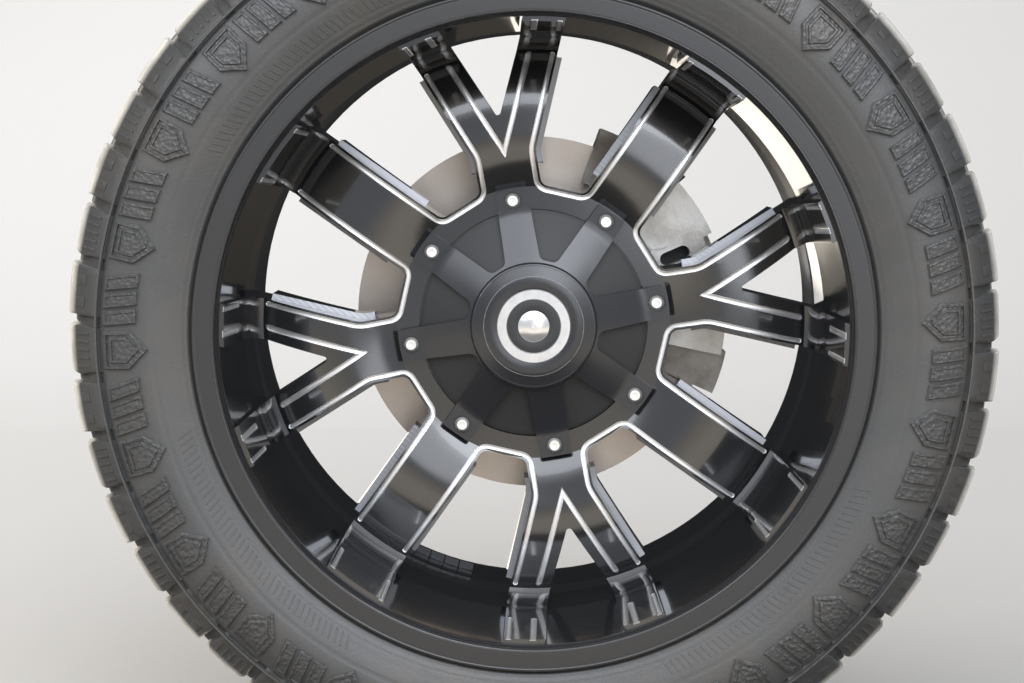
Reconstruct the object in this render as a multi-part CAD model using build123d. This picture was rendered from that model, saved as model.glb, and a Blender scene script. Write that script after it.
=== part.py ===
from build123d import *
import math
import os

# The wheel end of an off-road vehicle: a tyre on a deep cast wheel, its bolted cap, disc brake and hub.
# Millimetres, +Z up, +Y inboard along the wheel's axis. Depths are measured inboard from the face of
# the wheel's outer lip, and the origin is on the bearing's mounting face. Angles are counter-clockwise
# from +X, as seen from outside the vehicle.

# Wheel size and offset
RIM_WIDTH = 330.0
WHEEL_OFFSET = -44.0
SEAT_DEPTH = RIM_WIDTH / 2 - WHEEL_OFFSET
FLANGE_R = 297.0
BEAD_R = 281.0
FLANGE_THICKNESS = 9.0
FLANGE_DRAFT = 2.0
FLANGE_FOOT = 3.0
HEEL_BEVEL = 4.0
HUMP_HEIGHT = 1.5
HUMP_RUN = 4.0
WELL_RAMP = 36.0
WELL_END = 10.0
RAMP_END = 75.0
LIP_BEVEL = 6.0
BEAD_WIDTH = 24.0
BARREL_WALL = 5.5
WELL_DROP = 8.0
LIP_FACE_R = 279.0

# How far a cut runs past what it cuts
OVERCUT = 1.0
TOOL_REACH = 20.0

# Spokes
SPIN_PHASE = 9.75
Y_SPOKES = 4
SPOKE_STEP = 360.0 / Y_SPOKES
HUB_FACE_DEPTH = 124.0
CREST_DEPTH = 113.0
CREST_R = 185.0
ROOT_DEPTH = 134.0
ROOT_R = 252.0
SPOKE_THICKNESS = 54.0
LEDGE_DEPTH = 20.0
LEDGE_WIDTH = 5.0
LEDGE_START_R = 148.0
LEDGE_END_R = 246.0
PAD_PROUD = 4.5
PAD_FILLET = 14.0
PAD_TOE_IN = 11.2
PAD_TOE_DOWN = 16.8
STRAIGHT_HALF = 30.0
NECK_HALF = 28.7
FORK_ALONG = 158.0
FORK_ANGLE = 22.7
FORK_FILLET = 24.0
WINDOW_INNER = 126.5
WINDOW_FILLET = 8.0
EYE_ALONG = 190.0
EYE_ANGLE = 24.0
EYE_FILLET = 3.0

# Milled grooves
GROOVE_MARGIN = 2.2
GROOVE_WIDTH = 4.2
GROOVE_DEPTH = 1.2
GROOVE_OUTER_R = 250.0
VEE_ALONG = 159.0
VEE_ANGLE = 23.3
VEE_WIDTH = 5.5
LIP_GROOVE_END = 70.0

# Hub and wheel bolts
LUGS = 8
LUG_CIRCLE_R = 82.55
PILOT_R = 65.4
PILOT_CLEARANCE = 0.2
WHEEL_PAD_R = 110.0
WHEEL_PAD_THICKNESS = 19.0
HUB_WALL_R = 118.0
STUD_R = 7.0
STUD_CLEARANCE = 0.6
STUD_HEAD_R = 10.0
STUD_HEAD_THICKNESS = 5.0
NUT_FLAT_R = 10.5
NUT_LENGTH = 34.0
STUD_SHORT = 6.0
NUT_CLEARANCE = 0.2

# Cap
CAP_ARMS = 8
CAP_PHASE = SPIN_PHASE
CAP_R = 105.0
CAP_POCKET_GAP = 1.0
CAP_POCKET_DEPTH = 9.0
CAP_INNER_R = 103.0
ARM_LENGTH = 125.0
ARM_END_HALF = 14.6
ARM_ROOT_HALF = 16.0
ARM_ROOT_ALONG = 58.5
ARM_VALLEY_FILLET = 7.0
ARM_END_FILLET = 2.5
ARM_PAD_R = 103.0
ARM_PAD_THICKNESS = 8.5
ARM_RISE = 17.0
CAP_WALL = 5.0
CAP_EDGE = 1.5
ARM_BEND = 5.0
ARM_INNER_OVERLAP = 4.0
DISH_DROP = 9.0
BOSS_R = 58.0
BOSS_RISE = 9.0
BOSS_SLOPE = 2.4
BOSS_ROUND = 3.0
BOSS_FOOT = 4.0
CAP_FLOOR_GAP = 2.0
MEDALLION_R = 46.0
MEDALLION_THICKNESS = 2.5
MEDALLION_RECESS = 3.0
MEDALLION_CLEARANCE = 0.3
DOME_R = 14.0
DOME_HEIGHT = 3.0
DOME_BEND_R = 8.0
DOME_BEND = 2.3
MEDALLION_RING_INNER_R = 24.0
MEDALLION_RING_OUTER_R = 34.0
MEDALLION_RING_RISE = 1.5
MEDALLION_RING_EDGE = 1.0
SCREW_CIRCLE_R = 115.0
SCREW_HEAD_R = 6.7
SCREW_HEAD_HEIGHT = 4.0
SCREW_RECESS_R = 8.4
SCREW_RECESS = 2.5
SCREW_R = 3.0
SCREW_CLEARANCE = 0.25
SCREW_SOCKET_R = 2.6
SCREW_SOCKET_DEPTH = 2.5
SCREW_LENGTH = 21.0
SCREW_FACE_SHARE = 0.7
SCREW_RIM = 1.0

# Tyre
TYRE_R = 416.0
SECTION_WIDTH = 338.0
TREAD_DEPTH = 12.0
SIDEWALL_THICKNESS = 12.0
TREAD_THICKNESS = 14.0
FIT_GAP = 0.3
PITCHES = 24
PITCH_PHASE = 2.0
PITCH_ANGLE = 360.0 / PITCHES
SHOULDER_BLOCKS = 2 * PITCHES
SHOULDER_R = 407.0
SHOULDER_HALF = 135.0
SHOULDER_FOOT_R = 380.0
SHOULDER_TUCK = 5.0
WIDEST_R = 349.0
BEAD_BULGE = 12.0
BEAD_TUCK = 8.0
BEAD_TOE = 2.0
BEAD_THICKNESS = 14.0
COLLAR_INSET = 1.0
COLLAR_RISE = 2.0
COLLAR_OUT = 4.0
SHOULDER_BEND_DOWN = 11.0
SHOULDER_BEND_IN = 14.0
CROWN_DROP = 2.0
CROWN_EDGE = 12.0
LINING_SHOULDER = 27.0
LINING_BEND = 14.0
LINING_BEAD_RISE = 8.0
LINING_BEAD_IN = 16.0
NOTCH_BEND = 9.0
NOTCH_BEND_DOWN = 14.0
NOTCH_RUN_OUT = 7.0
NOTCH_REACH = 10.0
NOTCH_FOOT_DROP = 5.0
NOTCH_FOOT_STEP = 9.0
NOTCH_SHARE = 0.26
TREAD_GROOVES = (30.0, 88.0)
TREAD_GROOVE_WIDTH = 9.0
CROSS_SLOT_WIDTH = 8.0
CROSS_SLOT_LIFT = 0.5
CROSS_SLOT_REACH = 4.0
SIDE_LUG_HEIGHT = 3.6
SIDE_LUG_ROOT = 3.0
SIDE_LUG_REACH = 20.0
SIDE_LUG_INNER_R = 334.0
SIDE_LUG_OUTER_R = 374.0
SHIELD_LUG_HALF = 16.5
SHIELD_LUG_SHOULDER_R = 351.0
BAR_LUGS = 3
BAR_LUG_INNER_R = 344.0
BAR_LUG_WIDTH = 12.5
BAR_LUG_STEP = 15.5
BAR_LUG_LEAN = 6.0

# Brake disc
DISC_R = 172.5
DISC_THICKNESS = 30.0
DISC_PLATE = 8.0
DISC_INNER_R = 112.0
HAT_R = 108.0
HAT_THICKNESS = 9.0
HAT_DEPTH = 27.0
DISC_VANES = 36
HAT_BEVEL = 4.0
HAT_STEP = 1.0
DUCT_SHARE = 0.5
DUCT_INSET = 10.0
DUCT_OVERRUN = 5.0

# Hub and bearing
HUB_FLANGE_R = 96.0
HUB_FLANGE_THICKNESS = 14.0
SNOUT_LENGTH = 44.0
SNOUT_R = 52.0
JOURNAL_R = 38.0
JOURNAL_CLEARANCE = 0.06
SPLINE_R = 20.0
SPLINE_LENGTH = 80.0
HUB_END_GAP = 4.0
SNOUT_RECESS = 6.0
SNOUT_BEVEL = 3.0
PILOT_LEAD = 8.0
PILOT_BEVEL = 3.0
JOURNAL_STEP = 8.0
JOURNAL_STEP_LENGTH = 3.0
SHAFT_RELIEF_R = 16.0
BEARING_R = 58.0
BEARING_GAP = 6.0
BEARING_BEVEL = 3.0
BEARING_FLANGE_THICKNESS = 14.0
BEARING_FLANGE_X = 122.0
BEARING_FLANGE_Z = 112.0
BEARING_FLANGE_CORNER = 18.0
BEARING_STANDOFF = 52.0
ANCHOR_THICKNESS = 12.0
ANCHOR_BORE_GAP = 4.0
AXLE_BOLT_X = 92.0
AXLE_BOLT_Z = 82.0
AXLE_BOLT_HOLE_R = 7.5

# Caliper, centred on this angle
CALIPER_ANGLE = 23.0
CALIPER_HALF_ANGLE = 35.0
CALIPER_INNER_R = 128.0
CALIPER_REACH = 16.0
CALIPER_EDGE_GAP = 6.0
CALIPER_BRIDGE = 11.0
CALIPER_STEP = 4.0
BRIDGE_SET_BACK = 3.0
BRIDGE_HALF_ANGLE = 27.0
BRIDGE_WINDOW_ANGLE = 9.0
BOSS_CIRCLE_R = 145.0
BOSS_ANGLE = 13.0
FACE_BOSS_R = 21.0
FACE_BOSS_RISE = 3.0
FACE_SLOT_LENGTH = 30.0
FACE_SLOT_WIDTH = 13.0
FACE_SLOT_SHIFT = 3.0
REAR_HALF_ANGLE = 28.0
REAR_THICKNESS = 17.0
PISTON_R = 24.0
PISTON_WALL = 6.0
PISTON_HOUSING = 34.0
PISTON_HOUSING_END = 7.0
PISTON_BOTTOM_GAP = 1.0
HOSE_PORT_R = 5.0
HOSE_PORT_DEPTH = 12.0
HOSE_PORT_CIRCLE_R = 182.0
EAR_THICKNESS = 10.0
EAR_INNER_R = 160.0
EAR_HALF_ANGLE = 43.0

# Pads, bracket and guide pins
PAD_GAP = 0.3
PAD_LINING = 10.0
PAD_BACKING = 6.0
PAD_INNER_R = 122.0
PAD_OUTER_R = 170.0
PAD_HALF_ANGLE = 33.7
BRACKET_OPEN_ANGLE = 34.2
BRACKET_HALF_ANGLE = 47.0
BRACKET_INNER_R = 136.0
BRACKET_FOOT_R = 156.0
BRACKET_ARM_THICKNESS = 9.5
BRACKET_SEAT_GAP = 1.5
BRACKET_RISE = 2.0
PIN_BORE_FLOOR = 3.0
PIN_FLOOR = 4.0
BOLT_BORE_FLOOR = 4.0
BOLT_FLOOR = 6.0
BRACKET_REAR = 18.0
ANCHOR_ARM_ANGLE = 41.0
ANCHOR_ARM_R = 142.0
ANCHOR_ARM_HALF = 15.0
BRACKET_BOLT_R = 6.0
BRACKET_BOLT_HEAD_R = 9.0
BRACKET_BOLT_HEAD = 8.0
GUIDE_PIN_R = 6.0
SLIDE_CLEARANCE = 0.1
GUIDE_PIN_CIRCLE_R = 174.0
GUIDE_PIN_ANGLE = 39.0
GUIDE_BOLT_R = 4.0
GUIDE_BOLT_HEAD_R = 7.5
GUIDE_BOLT_HEAD = 6.0
BOOT_R = 11.0
BLEED_R = 4.0
BLEED_LENGTH = 12.0
BLEED_ANGLE = 19.0
SHIELD_THICKNESS = 2.0
SHIELD_BORE_GAP = 1.0
SHIELD_R = 165.0
SHIELD_GAP = 6.0
SHIELD_SLOPE = 10.0
SHIELD_MARGIN = 5.0

# Small things on the wheel
WEIGHT_ANGLE = -111.0
WEIGHT_DEPTH = 285.0
WEIGHT_SPACE = 1.5
WEIGHTS = 5
WEIGHT_LENGTH = 14.0
WEIGHT_WIDTH = 18.0
WEIGHT_THICKNESS = 3.5
VALVE_ANGLE = -35.25
VALVE_R = 4.5
VALVE_AHEAD = 6.0
VALVE_LENGTH = 34.0

# Places that follow from the sizes above
HUB_FACE = SEAT_DEPTH + HAT_THICKNESS
HUB_BACK = HUB_FACE + HUB_FLANGE_THICKNESS
DISC_FACE = SEAT_DEPTH + HAT_DEPTH
DISC_BACK = DISC_FACE + DISC_THICKNESS
BEARING_FLANGE_FACE = HUB_BACK + BEARING_STANDOFF
ANCHOR_FACE = BEARING_FLANGE_FACE + BEARING_FLANGE_THICKNESS
MOUNT_DEPTH = ANCHOR_FACE + ANCHOR_THICKNESS
LUG_SEAT = SEAT_DEPTH - WHEEL_PAD_THICKNESS
TYRE_MIDDLE = RIM_WIDTH / 2
ARM_PAD_DEPTH = HUB_FACE_DEPTH - ARM_PAD_THICKNESS
ARM_ROOT_DEPTH = ARM_PAD_DEPTH - ARM_RISE
SCREW_SEAT = ARM_PAD_DEPTH + SCREW_RECESS
BOSS_DEPTH = ARM_ROOT_DEPTH - BOSS_RISE
PAD_NEAR = DISC_FACE - PAD_GAP - PAD_LINING - PAD_BACKING
PAD_FAR = DISC_BACK + PAD_GAP + PAD_LINING + PAD_BACKING
BRIDGE_R = DISC_R + CALIPER_EDGE_GAP
CALIPER_R = BRIDGE_R + CALIPER_BRIDGE
BRACKET_NEAR = PAD_NEAR + BRACKET_SEAT_GAP
BRACKET_BACK = DISC_BACK + CALIPER_EDGE_GAP
BRACKET_PIN_FACE = BRACKET_BACK + BRACKET_REAR
EAR_FACE = ANCHOR_FACE + PAD_GAP
EAR_BACK = EAR_FACE + EAR_THICKNESS


def turned(start, *steps):
    """A body turned about the wheel's axis. A point is (radius, depth), and a pair of points is an arc."""
    place = lambda point: (point[0], point[1] - MOUNT_DEPTH)
    edges = []
    here = start
    for step in steps:
        if isinstance(step[0], tuple):
            middle, end = step
            edges.append(ThreePointArc(place(here), place(middle), place(end)))
            here = end
        else:
            edges.append(Line(place(here), place(step)))
            here = step
    edges.append(Line(place(here), place(start)))
    return revolve(make_face(edges), Axis.Y)


def prism(sketch, near, far):
    """The front view outline as a prism between two depths."""
    plane = Plane(origin=(0, far - MOUNT_DEPTH, 0), x_dir=(1, 0, 0), z_dir=(0, -1, 0))
    return extrude(plane * sketch, amount=far - near, dir=(0, -1, 0))


def on_arc(radius):
    """How far the middle of a quarter circle of this radius lies from each of its two straight sides."""
    return (1 - math.sqrt(0.5)) * radius


def polar(radius, angle):
    """A point of the front view."""
    turn = math.radians(angle)
    return (radius * math.cos(turn), radius * math.sin(turn))


def spokewise(along, lateral, angle):
    """A front view point given along and across the spoke at this angle."""
    turn = math.radians(angle)
    across = lateral * math.cos(turn)
    return (along * math.cos(turn) - lateral * math.sin(turn), along * math.sin(turn) + across)


def crossing(first, second):
    """Where two front view lines meet, each given as a point and a direction angle."""
    (ax, ay), a = first
    (bx, by), b = second
    ux, uy = polar(1.0, a)
    vx, vy = polar(1.0, b)
    share = ((bx - ax) * vy - (by - ay) * vx) / (ux * vy - uy * vx)
    return (ax + share * ux, ay + share * uy)


def rounded(points, radii):
    """A closed outline with its own radius at each corner."""
    return make_face(FilletPolyline(*points, radius=radii, close=True))


def copies(sketch, count, phase=0.0):
    """The outline repeated around the axis."""
    return Sketch() + [Rot(0, 0, phase + 360.0 / count * turn) * sketch for turn in range(count)]


def around(piece, angle):
    """A piece turned about the wheel's axis, counter-clockwise as seen from outside."""
    return Rot(0, -angle, 0) * piece


def ring(outer, inner, near, far):
    """A plain turned ring between two depths."""
    return turned((inner, near), (outer, near), (outer, far), (inner, far))


def window(side):
    """One window between a Y spoke on +X and the straight spoke half a step on, side +1 or -1."""
    half_step = SPOKE_STEP / 2
    outside = FLANGE_R + WELL_DROP
    neck = ((0.0, NECK_HALF), 0.0)
    sill = (polar(WINDOW_INNER, half_step / 2), half_step / 2 + 90)
    straight = (spokewise(0.0, -STRAIGHT_HALF, half_step), half_step)
    fork = (FORK_ALONG, NECK_HALF)
    branch = (fork, FORK_ANGLE)
    rim = (polar(outside, half_step / 2), half_step / 2 + 90)
    points = [crossing(neck, sill), fork, crossing(branch, rim), crossing(straight, rim)]
    points.append(crossing(straight, sill))
    if side < 0:
        points = [(along, -lateral) for along, lateral in points]
    return rounded(points, [WINDOW_FILLET, FORK_FILLET, 0, 0, WINDOW_FILLET])


def eye():
    """The three-cornered opening between the branches of a Y spoke on +X."""
    reach = FLANGE_R - EYE_ALONG
    spread = reach * math.tan(math.radians(EYE_ANGLE))
    points = [(EYE_ALONG, 0), (FLANGE_R, spread), (FLANGE_R, -spread)]
    return rounded(points, [EYE_FILLET, 0, 0])


def vee():
    """The milled V around the eye of a Y spoke on +X."""
    reach = FLANGE_R - VEE_ALONG
    spread = reach * math.tan(math.radians(VEE_ANGLE))
    path = FilletPolyline((FLANGE_R, spread), (VEE_ALONG, 0), (FLANGE_R, -spread), radius=0)
    return trace(path, line_width=VEE_WIDTH)


def front_profile():
    """The spoke's front from the pad on the barrel to the hub, as turned steps from (pad radius, lip)."""
    pad = pad_radius(CREST_DEPTH)
    knee = (pad - on_arc(PAD_FILLET), CREST_DEPTH + PAD_FILLET - on_arc(PAD_FILLET))
    toe = (pad - PAD_TOE_IN, CREST_DEPTH + PAD_TOE_DOWN)
    crest = (CREST_R, CREST_DEPTH)
    return pad, knee, toe, crest


def barrel_radius(depth):
    """The barrel's inner wall between the lip and the spokes, closing in towards them."""
    return BEAD_R - BARREL_WALL - WELL_DROP * min(depth, CREST_DEPTH) / CREST_DEPTH


def pad_radius(depth):
    """The raised pads on that wall."""
    return barrel_radius(depth) - PAD_PROUD


def barrel_inside():
    """The barrel's inner wall behind the spokes' face, from there to its inboard end."""
    wall = barrel_radius(CREST_DEPTH)
    end = BEAD_R - BARREL_WALL
    middle = TYRE_MIDDLE
    start = (wall, CREST_DEPTH)
    taper = (end - HUMP_HEIGHT, middle + RAMP_END)
    return [start, (wall, middle + WELL_END), taper, (end, RIM_WIDTH - FLANGE_THICKNESS)]


def inside_radius(depth):
    """The radius of that wall at a depth."""
    points = barrel_inside()
    for (near_r, near), (far_r, far) in zip(points, points[1:]):
        if near <= depth <= far:
            return near_r + (far_r - near_r) * (depth - near) / (far - near)
    return points[-1][0]


def spoke_body():
    """The turned body that the windows cut into spokes."""
    pad, knee, toe, crest = front_profile()
    lip = FLANGE_THICKNESS
    hub = (CAP_R + CAP_POCKET_GAP, HUB_FACE_DEPTH)
    back = HUB_FACE_DEPTH + SPOKE_THICKNESS
    outer_back = ROOT_DEPTH + SPOKE_THICKNESS
    outside = BEAD_R - BARREL_WALL / 2 - WELL_DROP
    steps = [
        (pad, CREST_DEPTH),
        (knee, toe),
        (ROOT_R, ROOT_DEPTH),
        (crest, (WINDOW_INNER, HUB_FACE_DEPTH)),
        hub,
        (hub[0], HUB_FACE_DEPTH + CAP_POCKET_DEPTH),
        (CAP_INNER_R, HUB_FACE_DEPTH + CAP_POCKET_DEPTH),
        (CAP_INNER_R, LUG_SEAT),
        (PILOT_R, LUG_SEAT),
        (PILOT_R, SEAT_DEPTH),
        (WHEEL_PAD_R, SEAT_DEPTH),
        (HUB_WALL_R, back),
        ((CREST_R, CREST_DEPTH + SPOKE_THICKNESS), (toe[0], outer_back)),
        (outside, outer_back),
        (outside, CREST_DEPTH),
        (outside + WELL_DROP, lip),
    ]
    return turned((pad_radius(lip), lip), *steps)


def face_skin(depth):
    """The metal that a groove of this depth takes off the spokes' face."""
    lifted = turned(
        (ROOT_R + TOOL_REACH, ROOT_DEPTH + depth),
        (ROOT_R, ROOT_DEPTH + depth),
        ((CREST_R, CREST_DEPTH + depth), (WINDOW_INNER, HUB_FACE_DEPTH + depth)),
        (CAP_R, HUB_FACE_DEPTH + depth),
        (CAP_R, 0),
        (ROOT_R + TOOL_REACH, 0),
    )
    return lifted


def pad_skin(depth):
    """The metal that a groove of this depth takes off the pads next to the lip."""
    near = FLANGE_THICKNESS - OVERCUT
    return turned(
        (pad_radius(near) + depth, near),
        (pad_radius(LIP_GROOVE_END) + depth, LIP_GROOVE_END),
        (CREST_R, LIP_GROOVE_END),
        (CREST_R, near),
    )


def narrow_windows(windows):
    """The windows behind the ledges that run along the spokes' sides, with a square end at each ledge."""
    narrow = offset(windows, -LEDGE_WIDTH)
    ends = windows & (Circle(FLANGE_R) - Circle(LEDGE_END_R) + Circle(LEDGE_START_R))
    return narrow + ends


def wheel_casting():
    """Barrel, pads, spokes and hub in one casting, with the milled grooves."""
    windows = Sketch() + [window(1), window(-1)]
    windows = copies(windows, Y_SPOKES, SPIN_PHASE)
    eyes = copies(eye(), Y_SPOKES, SPIN_PHASE)
    ledge = HUB_FACE_DEPTH + LEDGE_DEPTH
    behind = SEAT_DEPTH + TOOL_REACH
    spokes = spoke_body() - prism(windows, 0, ledge) - prism(narrow_windows(windows), ledge, behind)
    spokes -= prism(eyes, 0, behind)
    inboard = RIM_WIDTH - FLANGE_THICKNESS
    heel = FLANGE_THICKNESS + HEEL_BEVEL
    toe = heel + BEAD_WIDTH
    well = BEAD_R - WELL_DROP
    foot = BEAD_R + FLANGE_FOOT
    barrel = turned(
        (LIP_FACE_R, 0),
        (FLANGE_R, 0),
        (FLANGE_R, FLANGE_THICKNESS - FLANGE_DRAFT),
        (foot, FLANGE_THICKNESS),
        (BEAD_R, heel),
        (BEAD_R, toe),
        (BEAD_R + HUMP_HEIGHT, toe + HUMP_RUN),
        (BEAD_R, toe + 2 * HUMP_RUN),
        (well, toe + WELL_RAMP),
        (well, TYRE_MIDDLE + WELL_END),
        (BEAD_R - HUMP_HEIGHT, TYRE_MIDDLE + RAMP_END),
        (BEAD_R, RIM_WIDTH - toe),
        (BEAD_R, RIM_WIDTH - heel),
        (foot, inboard),
        (FLANGE_R, inboard + FLANGE_DRAFT),
        (FLANGE_R, RIM_WIDTH),
        (foot, RIM_WIDTH),
        *reversed(barrel_inside()),
        (barrel_radius(LIP_BEVEL), LIP_BEVEL),
    )
    casting = barrel + spokes
    casting -= prism(stud_holes(), LUG_SEAT - OVERCUT, SEAT_DEPTH + OVERCUT)
    casting -= prism(cap_screw_holes(), 0, SCREW_SEAT + SCREW_LENGTH + OVERCUT)
    outlines = offset(windows, GROOVE_MARGIN + GROOVE_WIDTH) - offset(windows, GROOVE_MARGIN)
    vees = copies(vee(), Y_SPOKES, SPIN_PHASE)
    reach = HUB_FACE_DEPTH + TOOL_REACH
    grooves = prism(outlines, 0, reach) + prism(vees, 0, reach)
    on_spokes = grooves & ring(GROOVE_OUTER_R, CAP_R, 0, reach)
    casting -= on_spokes & face_skin(GROOVE_DEPTH)
    casting -= grooves & pad_skin(GROOVE_DEPTH)
    return casting


def stud_holes(clearance=STUD_CLEARANCE):
    """The eight holes for the wheel studs."""
    return copies(Pos(LUG_CIRCLE_R, 0) * Circle(STUD_R + clearance), LUGS, SPIN_PHASE)


def cap_screw_holes(radius=SCREW_R + SCREW_CLEARANCE):
    """The eight screw holes of the cap's arms."""
    return copies(Pos(SCREW_CIRCLE_R, 0) * Circle(radius), CAP_ARMS, CAP_PHASE)


def cap_star():
    """The outline of the cap's eight arms, with round valleys between their roots."""
    root = (ARM_ROOT_ALONG, ARM_ROOT_HALF)
    end = (ARM_LENGTH, ARM_END_HALF)
    points = []
    radii = []
    for turn in range(CAP_ARMS):
        angle = CAP_PHASE + 360.0 / CAP_ARMS * turn
        for (along, lateral), side in ((root, -1), (end, -1), (end, 1), (root, 1)):
            points.append(spokewise(along, side * lateral, angle))
        radii += [ARM_VALLEY_FILLET, ARM_END_FILLET, ARM_END_FILLET, ARM_VALLEY_FILLET]
    return rounded(points, radii)


def centre_cap():
    """The bolted cap: a dished disc, eight arms that run out over the spokes, and a raised boss."""
    seat = HUB_FACE_DEPTH
    floor = BOSS_DEPTH + MEDALLION_RECESS
    rim = BOSS_DEPTH + BOSS_SLOPE
    dish = ARM_ROOT_DEPTH + DISH_DROP
    skirt = seat + CAP_POCKET_DEPTH - CAP_FLOOR_GAP
    disc = turned(
        (0, floor),
        (MEDALLION_R, floor),
        (MEDALLION_R, BOSS_DEPTH),
        (BOSS_R - BOSS_ROUND, rim),
        ((BOSS_R - on_arc(BOSS_ROUND), rim + on_arc(BOSS_ROUND)), (BOSS_R, rim + BOSS_ROUND)),
        (BOSS_R, dish - BOSS_FOOT),
        ((BOSS_R + on_arc(BOSS_FOOT), dish - on_arc(BOSS_FOOT)), (BOSS_R + BOSS_FOOT, dish)),
        (CAP_R - 2 * CAP_EDGE, seat - CAP_EDGE),
        (CAP_R, seat),
        (CAP_R, skirt),
        (CAP_R - CAP_WALL, skirt),
        (CAP_R - CAP_WALL, seat + CAP_WALL / 2),
        (BOSS_R - CAP_WALL / 2, dish + CAP_WALL),
        (BOSS_R - CAP_WALL, floor + CAP_WALL),
        (0, floor + CAP_WALL),
    )
    inner = BOSS_R - ARM_INNER_OVERLAP
    slope = ARM_RISE / (ARM_PAD_R - BOSS_R)
    bend = (ARM_PAD_R - ARM_BEND, ARM_PAD_DEPTH - ARM_BEND * slope)
    arms = turned(
        (inner, ARM_ROOT_DEPTH),
        (BOSS_R, ARM_ROOT_DEPTH),
        bend,
        ((ARM_PAD_R, ARM_PAD_DEPTH - ARM_BEND * slope / 4), (ARM_PAD_R + ARM_BEND, ARM_PAD_DEPTH)),
        (ARM_LENGTH + OVERCUT, ARM_PAD_DEPTH),
        (ARM_LENGTH + OVERCUT, seat),
        (CAP_R - CAP_EDGE, seat),
        (CAP_R - CAP_EDGE, seat + CAP_EDGE),
        (inner, dish + CAP_EDGE),
    )
    arms &= prism(cap_star(), 0, seat + TOOL_REACH)
    arms -= prism(cap_screw_holes(SCREW_RECESS_R), 0, SCREW_SEAT)
    return disc + arms - prism(cap_screw_holes(), 0, seat + TOOL_REACH)


def medallion():
    """A blank disc in the boss, with a plain ring and a low dome on it."""
    floor = BOSS_DEPTH + MEDALLION_RECESS
    face = floor - MEDALLION_THICKNESS
    top = face - MEDALLION_RING_RISE
    return turned(
        (0, floor),
        (0, face - DOME_HEIGHT),
        ((DOME_BEND_R, face - DOME_BEND), (DOME_R, face)),
        (MEDALLION_RING_INNER_R, face),
        (MEDALLION_RING_INNER_R + MEDALLION_RING_EDGE, top),
        (MEDALLION_RING_OUTER_R - MEDALLION_RING_EDGE, top),
        (MEDALLION_RING_OUTER_R, face),
        (MEDALLION_R - MEDALLION_CLEARANCE, face),
        (MEDALLION_R - MEDALLION_CLEARANCE, floor),
    )


def cap_screws():
    """Socket screws through the ends of the cap's arms."""
    face = SCREW_SEAT - SCREW_HEAD_HEIGHT
    screw = turned(
        (0, face + SCREW_SOCKET_DEPTH),
        (SCREW_SOCKET_R, face + SCREW_SOCKET_DEPTH),
        (SCREW_SOCKET_R, face),
        (SCREW_HEAD_R * SCREW_FACE_SHARE, face),
        (SCREW_HEAD_R, SCREW_SEAT - SCREW_RIM),
        (SCREW_HEAD_R, SCREW_SEAT),
        (SCREW_R, SCREW_SEAT),
        (SCREW_R, SCREW_SEAT + SCREW_LENGTH),
        (0, SCREW_SEAT + SCREW_LENGTH),
    )
    screw = Pos(SCREW_CIRCLE_R, 0, 0) * screw
    return Compound([around(screw, CAP_PHASE + 360.0 / CAP_ARMS * turn) for turn in range(CAP_ARMS)])


def wheel_studs():
    """Studs pressed in from behind the hub's flange."""
    stud = turned(
        (0, LUG_SEAT - NUT_LENGTH + STUD_SHORT),
        (STUD_R, LUG_SEAT - NUT_LENGTH + STUD_SHORT),
        (STUD_R, HUB_BACK),
        (STUD_HEAD_R, HUB_BACK),
        (STUD_HEAD_R, HUB_BACK + STUD_HEAD_THICKNESS),
        (0, HUB_BACK + STUD_HEAD_THICKNESS),
    )
    stud = Pos(LUG_CIRCLE_R, 0, 0) * stud
    return Compound([around(stud, SPIN_PHASE + 360.0 / LUGS * turn) for turn in range(LUGS)])


def lug_nuts():
    """Hexagon nuts on the studs, seated on the wheel."""
    hexagon = RegularPolygon(NUT_FLAT_R, 6, major_radius=False) - Circle(STUD_R + NUT_CLEARANCE)
    nut = Pos(LUG_CIRCLE_R, 0, 0) * prism(hexagon, LUG_SEAT - NUT_LENGTH, LUG_SEAT)
    return Compound([around(nut, SPIN_PHASE + 360.0 / LUGS * turn) for turn in range(LUGS)])


def tyre_half():
    """Half the tyre's section from a bead to the middle, as (radius, distance from the tyre's middle)."""
    bulge = SECTION_WIDTH / 2
    heel = TYRE_MIDDLE - FLANGE_THICKNESS - HEEL_BEVEL
    seat = BEAD_R + FIT_GAP
    points = [
        (seat, heel - BEAD_WIDTH + BEAD_TOE),
        (seat, heel),
        (FLANGE_R - COLLAR_INSET, TYRE_MIDDLE - FLANGE_THICKNESS - FIT_GAP),
        (FLANGE_R + COLLAR_RISE, TYRE_MIDDLE - FLANGE_THICKNESS + COLLAR_OUT),
        (FLANGE_R + BEAD_BULGE, bulge - BEAD_TUCK),
        (WIDEST_R, bulge),
        (SHOULDER_FOOT_R, bulge - SHOULDER_TUCK),
        (SHOULDER_R - SHOULDER_BEND_DOWN, bulge - SHOULDER_BEND_IN),
        (SHOULDER_R, SHOULDER_HALF),
        (TYRE_R - CROWN_DROP, SHOULDER_HALF - CROWN_EDGE),
    ]
    floor = TYRE_R - TREAD_DEPTH
    for place in sorted(TREAD_GROOVES, reverse=True):
        half = TREAD_GROOVE_WIDTH / 2
        crown = TYRE_R - CROWN_DROP * (place / SHOULDER_HALF) ** 2
        points += [(crown, place + half), (floor, place + half), (floor, place - half), (crown, place - half)]
    return points


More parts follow.
